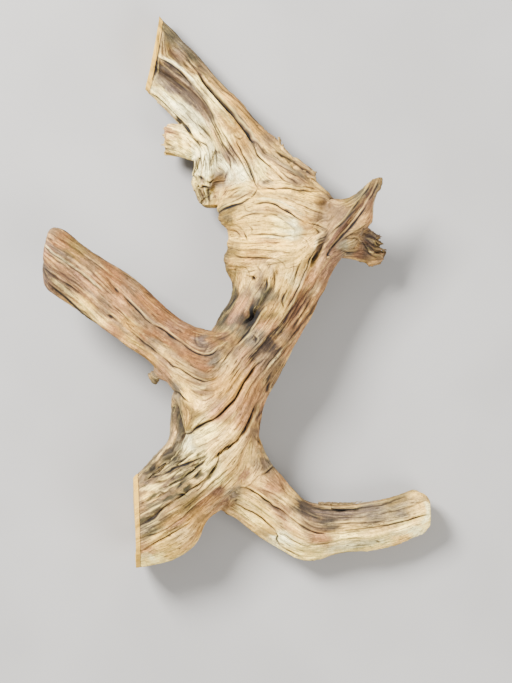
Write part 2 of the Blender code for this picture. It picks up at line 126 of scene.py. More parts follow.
SLAB = [
    (20, 50, 104, 84, 50, 34),
    (-4, 84, 106, 100, 48, 35),
    (-18, 108, 89, 117.5, 45, 34),
    (-27, 136, 54, 151, 42, 32),
    (-36, 154, 26, 180.5, 39, 30),
    (-44, 168, 5, 209, 36, 29),
    (-62, 187, -18, 230, 33, 28),
    (-81, 206, -40, 254, 30, 28),
    (-97, 220, -57, 273, 28, 28),
    (-112, 236, -73, 290, 27, 27),
    (-132, 258, -94, 312, 26, 26),
]
LEFT_BRANCH = [
    (-208, 21, -202, 65, 84, 25),
    (-201, 3, -191, 69, 83, 27),
    (-181, -13, -165, 50, 80, 27),
    (-152, -35, -133, 30, 77, 26),
    (-123, -54, -105, 11, 74, 26),
    (-96, -69, -79, -14, 71, 27),
    (-77, -89, -55, -33, 68, 29),
    (-63, -113, -27, -43, 65, 33),
    (-56, -140, 0, -40, 62, 37),
    (-30, -140, 22, -38, 60, 34),
]
RIGHT_BRANCH = [
    (-20, -215, 18, -148, 40, 30),
    (-18, -236, 30, -172, 37, 30),
    (0, -246, 41, -192, 34, 29),
    (20, -261, 60, -212, 31, 27),
    (42, -276, 74, -225, 28, 26),
    (62, -289, 86, -230, 29, 26),
    (82, -294, 98, -231, 28, 25),
    (110, -288, 118, -232, 27, 24),
    (148, -284, 146, -231, 25, 23),
    (181, -276, 174, -226, 23, 22),
    (206, -266, 199, -219, 22, 21),
    (215, -256, 213, -227, 21.5, 17),
]
SPIKE = [
    (56, -18, 78, -34, 60, 20),
    (66, 14, 96, 4, 63, 22),
    (78, 50, 112, 34, 66, 21),
    (96, 86, 132, 52, 68, 20),
    (106, 99, 145, 70, 70, 17),
    (118, 100, 148, 78, 73, 13),
    (130, 106, 149, 94, 78, 9),
    (141, 116, 153, 107, 84, 6),
    (149, 122, 158, 119, 89, 3.5),
]
RIGHT_STUB = [
    (80, 64, 80, 30, 52, 24),
    (104, 76, 104, 36, 48, 23),
    (126, 76, 122, 37, 44, 21),
    (145, 70, 139, 34, 40, 19),
    (154, 60, 150, 33, 37, 17),
]
LEFT_STUB = [
    (-22, 120, -18, 160, 40, 20),
    (-42, 142, -40, 177, 36, 18),
    (-60, 147, -59, 181, 33, 17),
    (-79, 151, -77, 182, 31, 16),
]
KNOB = [
    (-46, 150, -2, 158, 38, 24),
    (-46, 134, -4, 138, 37, 24),
    (-48, 118, -10, 118, 36, 21),
    (-43, 105, -14, 104, 35, 16),
    (-39, 94, -18, 95, 35, 12),
]
TWIG = [
    (-74, -96, -68, -84, 62, 6),
    (-84, -92, -80, -78, 60, 6),
    (-93, -90, -85, -84, 58, 5),
    (-92, -96, -85, -94, 57, 4),
    (-90, -100, -85, -98, 56, 3),
]
LATH = [
    (-55, 178, -48, 184, 30, 8),
    (-69, 193, -62, 199, 27, 6),
    (-82, 205, -74, 213, 24, 6),
    (-99, 221, -90, 226, 22, 6),
]
UPPER_FLAKE = [
    (26, 169, 31, 174, 42, 6),
    (38, 159, 43, 167, 42, 4.5),
    (46, 152, 51, 157, 43, 3),
]
LOWER_FLAKE = [
    (58, 138, 66, 144, 46, 8),
    (70, 124, 80, 135, 48, 7),
    (78, 118, 89, 127, 49, 4),
]

# Limb, flutes round it, their depth in mm, and how they wind along it, in degrees a mm.
LIMBS = [
    (TRUNK, 2.0, 2.0, 0.30),
    (SLAB, 1.7, 2.6, 0.10),
    (LEFT_BRANCH, 1.7, 2.4, 0.12),
    (RIGHT_BRANCH, 1.6, 2.2, 0.05),
    (SPIKE, 1.2, 1.6, 0.0),
    (RIGHT_STUB, 1.6, 2.0, 0.2),
    (LEFT_STUB, 1.4, 1.2, 0.0),
    (KNOB, 1.6, 2.4, 0.0),
    (TWIG, 1.0, 0.4, 0.0),
    (LATH, 1.0, 0.4, 0.0),
    (UPPER_FLAKE, 1.0, 0.3, 0.0),
    (LOWER_FLAKE, 1.0, 0.3, 0.0),
]

# Splinters left on a broken end: where, which way, how far they spread in plan and in height,
# how many, how thick and how long.
BROKEN_ENDS = [
    ((151, 47, 38), (1.0, 0.1, -0.1), 14, 12, 14, 6.0, 15.0),
    ((-74, 166, 31), (-1.0, 0.1, 0.0), 12, 11, 9, 7.0, 7.0),
    ((151, 116, 85), (0.45, 0.85, 0.3), 5, 3, 3, 4.5, 10.0),
]

# Furrows, checks and holes seen from above: half width, depth and the points they pass.
# A depth under nothing is a ridge. Those narrower than NARROW_FURROW are cut less deep.
NARROW_FURROW = 4.2
FURROWS = [
    (13, 8, [(-92, 243), (-72, 231), (-50, 217), (-36, 201), (-22, 183)]),
    (5, 4, [(-90, 250), (-70, 240), (-50, 226), (-36, 207), (-27, 190)]),
    (2.5, 2.0, [(-82, 282), (-84, 265), (-87, 250)]),
    (4.6, 6, [(-40, 236), (-30, 224), (-20, 213), (-5, 197), (5, 185), (15, 170), (22, 159)]),
    (3.5, 4, [(20, 158), (24, 148), (38, 136), (50, 123), (60, 117)]),
    (4.5, 3, [(18, 160), (30, 152), (45, 146), (60, 140), (75, 130), (86, 119)]),
    (3.2, 4, [(-93, 219), (-75, 202), (-55, 180), (-40, 163), (-35, 156)]),
    (2.2, 2, [(-40, 180), (-32, 170), (-27, 163)]),
    (3.5, 3.5, [(-25, 187), (-12, 160), (0, 140), (10, 128), (18, 118), (24, 110)]),
    (2.8, 3, [(8, 146), (14, 133), (19, 120), (24, 111)]),
    (3, 2, [(-60, 262), (-35, 238), (-5, 206), (20, 176), (44, 154)]),
    # The burl, where the wood is folded crosswise.
    (3.5, 3.5, [(24, 110), (40, 111), (60, 111), (75, 107), (92, 108)]),
    (3.5, 3.5, [(20, 105), (17, 96), (5, 91), (-5, 87), (-19, 80)]),
    (3, 2.4, [(12, 91), (30, 94), (42, 91), (55, 85), (73, 75)]),
    (3, 2.2, [(3, 76), (12, 81), (30, 83), (42, 80)]),
    (2.5, 1.5, [(66, 95), (80, 90), (95, 84)]),
    (3.2, 2.8, [(12, 60), (40, 60.5), (62, 59.5), (85, 61), (92, 64)]),
    (4.5, 3.5, [(-4, 42), (5, 36), (20, 35), (38, 34), (44, 33)]),
    (8, -4, [(34, 22), (26, 8), (15, -8), (4, -26)]),
    (5, 5, [(46, 28), (43, 12), (40, 3), (33, -8), (25, -18), (19, -24)]),
    (7.5, 15, [(9, -35), (15, -28), (21, -21)]),
    (4.4, 6, [(16.5, 13.5), (19.5, 12)]),
    (7, 3, [(-27, 108), (-18, 117), (-10, 126)]),
    (3, -2, [(30, 117), (34, 118)]),
    # The trunk and the spike.
    (3.5, 3.5, [(-22, -95), (-5, -68), (5, -55), (15, -45), (22, -33), (33, -20)]),
    (3.5, 3, [(50, -35), (60, -20), (70, -3), (78, 15), (83, 30)]),
    (5, 6, [(82, 26), (91, 45), (99, 66)]),
    (3, 3, [(146, 119), (138, 107), (122, 83), (112, 70)]),
    (3, 3, [(153, 120), (145, 105), (125, 77), (115, 64), (100, 42)]),
    (5, -3, [(100, 46), (115, 69), (132, 95)]),
    (3, 2.4, [(98, 7), (75, -28), (60, -50), (40, -75), (30, -90)]),
    (9, 2, [(78, 5), (65, -20), (50, -45), (35, -60), (15, -85)]),
    # The upper left branch.
    (3.5, 3, [(-140, 12), (-120, -5), (-100, -30), (-80, -42), (-50, -62), (-30, -70), (-17, -63)]),
    (3.5, 3, [(-112, -45), (-85, -66), (-55, -85), (-35, -97), (-22, -95)]),
    (3, 2, [(-198, 46), (-170, 28), (-140, -2), (-118, -26)]),
    (3, 1.8, [(-198, 19), (-190, 15), (-165, -8), (-140, -28)]),
    (2.6, 2.4, [(-67, -105), (-58, -113), (-49, -120)]),
    # The lower trunk, where one strand winds over the other and the surface is rotted.
    (5.5, 6, [(-57, -154), (-42, -147), (-20, -136), (0, -117), (10, -98), (24, -80)]),
    (4.5, 5, [(27, -114), (15, -143), (2, -162), (-15, -173), (-22, -181)]),
    (4.5, 4.5, [(-18, -185), (-30, -203), (-57, -221), (-83, -239), (-106, -255)]),
    (4.6, 4.5, [(-66, -118), (-62, -140), (-59, -156), (-78, -184), (-101, -201)]),
    (3.5, 4, [(-76, -199), (-60, -187), (-48, -182), (-34, -177)]),
    (3.5, 4, [(-57, -201), (-46, -193), (-38, -186)]),
    (3, 3, [(-87, -199), (-70, -189)]),
    (3, 3.5, [(-92, -225), (-78, -219), (-66, -214)]),
    (4, 4, [(-60, -222), (-55, -220)]),
    (2.8, 2, [(-102, -268), (-60, -247), (-20, -215), (-5, -200)]),
    (2.8, 2.4, [(-100, -280), (-80, -269), (-45, -250)]),
    # The lower right branch.
    (
        3.5,
        3.5,
        [(5, -212), (25, -221), (55, -243), (85, -262), (120, -262), (180, -256), (212, -243)],
    ),
    (3.5, 3.5, [(0, -232), (20, -243), (40, -260), (44, -268), (45, -278)]),
    (3, 2.2, [(45, -262), (60, -272), (75, -280), (100, -275), (140, -269)]),
    (3, 2.6, [(72, -231), (100, -236), (138, -236)]),
    (2.6, 2.4, [(28, -200), (42, -190)]),
]

# Lines that only lead the grain: along the edges of the limbs, and across the burl.
GRAIN = [
    [(-198, 66), (-160, 44), (-120, 20), (-88, -8), (-60, -31), (-35, -43)],
    [(-198, 2), (-160, -30), (-120, -57), (-89, -81), (-70, -104), (-62, -120)],
    [(-66, -124), (-71, -150), (-92, -182), (-112, -202)],
    [(-108, -298), (-70, -293), (-40, -272), (-16, -236), (8, -200), (22, -162)],
    [(31, -120), (25, -150), (35, -178), (60, -213), (90, -231), (140, -231), (200, -218)],
    [(-16, -236), (20, -260), (60, -286), (98, -289), (140, -284), (208, -260)],
    [(35, -110), (48, -87), (72, -42), (95, -2), (107, 22)],
    [(-83, 300), (-44, 260), (0, 213), (40, 168), (70, 138), (107, 101)],
    [(-95, 222), (-57, 178), (-36, 150)],
    [(-20, 95), (20, 99), (60, 100), (100, 96)],
    [(-10, 68), (30, 70), (60, 68), (90, 72)],
    [(-10, 50), (30, 47), (60, 45), (80, 50)],
    [(-3, 2), (-8, -14), (-22, -34), (-30, -44)],
    [(112, 36), (140, 33), (158, 36)],
    [(118, 60), (140, 56), (160, 50)],
    [(107, 101), (126, 100), (145, 117)],
    [(-40, -50), (-12, -50), (6, -36)],
    [(0, -40), (-5, -20), (5, 0), (22, 25)],
    [(-43, 148), (-42, 132), (-42, 108)],
    [(-34, 152), (-34, 130), (-35, 98)],
    [(-22, 150), (-26, 130), (-29, 104)],
    [(-78, 176), (-60, 172), (-48, 166)],
    [(-78, 156), (-64, 155), (-50, 150)],
]

# The sawn ends in mm: the heart of both, how far off the middle and how high, how wide a
# year's ring is, and how wide the pale strip of fresh wood along the edge.
HEART = (247.5, 38.0)
RING_WIDTH = 3.2
SAWN_STRIP = 4.4

# The two saw cuts: a point of the cut, and the way that it faces. Only what lies within
# SAW_REACH of that point is cut, and WHOLE_REACH takes in the whole piece.
SAW_REACH = 95
WHOLE_REACH = 900
RIM_FAR = 30.0
SAW_CUTS = [
    ((-94.8, 255, 10), (-0.98, 0.19, 0.09)),
    ((-112.4, -240, 20), (-1.0, -0.03, 0.06)),
]

# Where it touches the table: the middle of each spot and how far round it the wood is lowered.
REST_SPOTS = [(-76, 238, 26), (-92, -254, 36), (176, -249, 28)]

# Colours that the wood takes: the share of red, green and blue light that each sends back.
PALETTE = {
    "white": (0.95, 0.86, 0.42),
    "cream": (0.95, 0.72, 0.20),
    "pale": (0.80, 0.50, 0.13),
    "gold": (0.95, 0.57, 0.09),
    "straw": (0.63, 0.39, 0.08),
    "honey": (0.49, 0.26, 0.05),
    "peach": (0.39, 0.19, 0.07),
    "tan": (0.20, 0.123, 0.057),
    "pink": (0.216, 0.111, 0.059),
    "orange": (0.203, 0.090, 0.031),
    "ochre": (0.184, 0.118, 0.029),
    "olive": (0.104, 0.083, 0.043),
    "grey": (0.165, 0.128, 0.083),
    # A lavender grey: the wood's own tint in places, and painted shade in some hollows and creases.
    "mauve": (0.110, 0.078, 0.060),
    "ash": (0.056, 0.043, 0.030),
    "rust": (0.079, 0.037, 0.020),
    "brown": (0.046, 0.029, 0.018),
    "umber": (0.027, 0.017, 0.011),
    "moss": (0.029, 0.026, 0.013),
    # Painted shade at the core of a crack.
    "crack_shadow": (0.013, 0.010, 0.007),
    "sawn": (0.42, 0.235, 0.032),
    "sapwood": (0.58, 0.36, 0.065),
    # Painted shadow, black, deep in the hole under the thumb.
    "hole_shadow": (0.007, 0.006, 0.005),
}

# The eye judges light by about this power, so colours are mixed on that scale.
EYE_GAMMA = 2.2

# How softly the tones run into each other, in mm, on top and on the steep sides.
TONE_SOFTNESS = 4.7
STEEP_SOFTNESS = 26

# Where each colour rules: x, y and the colour's name.
TONES = [
    # The sawn limb.
    (-82, 294, "olive"), (-72, 280, "olive"), (-56, 268, "grey"), (-74, 262, "ochre"),
    (-60, 255, "tan"), (-46, 256, "olive"), (-34, 240, "tan"), (-20, 226, "honey"),
    (-4, 210, "honey"), (14, 194, "honey"), (30, 177, "honey"), (44, 162, "tan"),
    # From (-84, 246) on: the ash, grey and mauve in the scoop are painted shade in its hollow, and
    # the cream and white on its lower bank painted light.
    (60, 145, "pale"), (80, 128, "tan"), (94, 114, "pale"), (-84, 246, "ash"),
    (-72, 240, "ash"), (-56, 228, "grey"), (-42, 210, "grey"), (-72, 225, "mauve"),
    (-54, 211, "grey"), (-86, 221, "cream"), (-76, 212, "cream"), (-62, 201, "white"),
    (-46, 188, "white"), (-34, 172, "cream"), (-22, 158, "cream"), (-50, 240, "pale"),
    (-36, 224, "cream"), (-24, 204, "cream"), (-10, 186, "straw"), (-2, 176, "honey"),
    (6, 158, "honey"), (-10, 168, "cream"), (-6, 150, "tan"), (14, 146, "pale"),
    (30, 152, "pale"), (46, 138, "pale"), (64, 128, "pale"), (28, 130, "cream"),
    (44, 120, "pale"), (72, 116, "tan"),
    # The broken stub and the knob.
    (-76, 170, "peach"), (-76, 157, "straw"), (-62, 165, "cream"), (-50, 155, "cream"),
    (-36, 150, "white"), (-40, 132, "white"), (-26, 140, "white"), (-42, 118, "cream"),
    # (-16, 119) grey: painted shade in the hollow beside the knob.
    (-34, 104, "olive"), (-16, 119, "grey"), (-8, 132, "white"), (4, 124, "white"),
    (-10, 108, "straw"), (10, 108, "cream"), (-14, 94, "straw"),
    # The burl.
    (34, 103, "gold"), (60, 102, "gold"), (84, 100, "gold"), (102, 94, "tan"), (116, 88, "tan"),
    (30, 88, "straw"), (60, 90, "pale"), (88, 82, "pale"), (-8, 78, "ochre"), (8, 70, "straw"),
    (30, 72, "straw"), (52, 68, "cream"), (68, 64, "white"), (82, 68, "honey"), (92, 76, "tan"),
    (28, 52, "gold"), (8, 50, "gold"), (-6, 60, "straw"), (-6, 40, "ochre"), (50, 52, "gold"),
    (68, 50, "straw"), (84, 54, "pale"), (16, 40, "honey"), (38, 40, "pale"), (8, 28, "straw"),
    (-4, 20, "ochre"), (24, 24, "pale"), (52, 30, "straw"), (72, 32, "straw"), (50, 8, "straw"),
    (66, 8, "pale"),
    # The thumb and the trunk round the hole.
    (14, 6, "pale"), (20, -6, "tan"), (8, -18, "peach"), (0, -30, "pink"), (-6, -10, "moss"),
    (-14, -32, "moss"), (36, -8, "olive"), (34, -24, "ochre"), (46, -20, "straw"),
    (36, -38, "peach"), (10, -48, "olive"), (-12, -46, "ochre"), (-10, -56, "ochre"),
    (-24, -52, "orange"), (20, -54, "grey"), (82, 12, "peach"), (96, 22, "pink"),
    (74, -6, "orange"), (86, -8, "peach"), (60, -28, "rust"), (48, -48, "tan"),
    (74, -36, "peach"), (58, -62, "peach"), (34, -58, "brown"), (42, -76, "tan"),
    (26, -72, "tan"), (12, -76, "peach"), (-2, -66, "tan"), (36, -98, "tan"),
    (22, -100, "peach"), (-10, -80, "pale"), (-24, -78, "grey"), (0, -96, "honey"),
    (-16, -108, "honey"), (12, -118, "peach"),
    # The spike and the torn stub.
    (122, 96, "ochre"), (136, 106, "olive"), (148, 118, "olive"), (146, 96, "pink"),
    (140, 78, "peach"), (122, 62, "tan"), (118, 46, "grey"), (136, 60, "tan"),
    (130, 40, "pink"), (150, 48, "mauve"), (152, 36, "tan"), (104, 36, "pink"),
    # The upper left branch.
    (-196, 62, "tan"), (-188, 52, "orange"), (-205, 40, "pink"), (-190, 34, "tan"),
    (-176, 44, "ochre"), (-204, 22, "mauve"), (-190, 18, "pink"), (-172, 12, "pink"),
    (-160, 30, "tan"), (-150, 6, "peach"), (-186, -2, "tan"), (-164, -18, "straw"),
    (-148, -30, "pale"), (-146, -14, "tan"), (-132, 18, "orange"), (-122, 4, "orange"),
    (-128, -14, "peach"), (-112, 8, "tan"), (-96, -6, "orange"), (-82, -20, "orange"),
    (-66, -34, "pink"), (-104, -28, "tan"), (-120, -36, "honey"), (-132, -42, "peach"),
    (-110, -58, "straw"), (-92, -50, "orange"), (-84, -62, "tan"), (-70, -70, "pale"),
    (-70, -52, "orange"), (-91, -93, "olive"), (-87, -88, "grey"), (-88, -74, "honey"),
    (-74, -88, "peach"), (-50, -48, "orange"), (-36, -54, "mauve"), (-50, -72, "orange"),
    (-32, -84, "orange"), (-56, -96, "pale"), (-38, -104, "tan"), (-64, -106, "grey"),
    # The lower trunk.
    (-50, -112, "gold"), (-50, -130, "ochre"), (-34, -122, "pale"), (-54, -144, "ochre"),
    (-20, -126, "peach"), (-68, -132, "olive"), (-66, -156, "grey"), (-78, -174, "grey"),
    (-30, -150, "cream"), (-40, -158, "cream"), (-52, -166, "white"), (-46, -176, "cream"),
    (-24, -164, "pale"), (-6, -150, "pale"), (6, -140, "peach"), (-68, -184, "olive"),
    (-54, -192, "olive"), (-34, -188, "cream"), (-90, -194, "olive"), (-94, -208, "tan"),
    (-78, -206, "tan"), (-62, -206, "olive"), (-44, -200, "pale"), (-90, -220, "straw"),
    (-78, -222, "tan"), (-98, -236, "tan"), (-84, -236, "olive"), (-94, -256, "olive"),
    (-70, -244, "honey"), (-50, -230, "ochre"), (-86, -264, "straw"), (-60, -254, "peach"),
    (-34, -232, "peach"), (-96, -276, "peach"), (-98, -288, "cream"), (-84, -292, "cream"),
    (-74, -276, "straw"), (-54, -270, "pale"), (-66, -286, "straw"), (-40, -256, "honey"),
    (-16, -206, "cream"), (-4, -212, "pale"), (0, -192, "pale"), (8, -176, "pale"),
    (-16, -222, "pink"), (22, -148, "tan"), (28, -130, "peach"), (20, -186, "pale"),
    (34, -184, "grey"), (14, -200, "pink"),
    # The lower right branch.
    (24, -208, "pale"), (40, -212, "peach"), (54, -228, "pale"), (4, -222, "grey"),
    (16, -228, "pale"), (30, -238, "gold"), (50, -248, "peach"), (12, -244, "pale"),
    (26, -254, "gold"), (40, -266, "straw"), (52, -272, "white"), (66, -262, "pale"),
    (66, -284, "cream"), (74, -234, "ash"), (86, -242, "mauve"), (96, -250, "ash"),
    (84, -258, "tan"), (92, -270, "peach"), (86, -286, "cream"), (116, -242, "mauve"),
    (118, -256, "pale"), (122, -270, "cream"), (124, -280, "cream"), (144, -234, "grey"),
    (150, -246, "grey"), (154, -258, "pale"), (156, -272, "cream"), (176, -228, "ochre"),
    (178, -240, "grey"), (182, -252, "cream"), (180, -264, "pale"), (192, -246, "pale"),
    (204, -250, "cream"), (204, -230, "pale"), (198, -258, "white"),
]

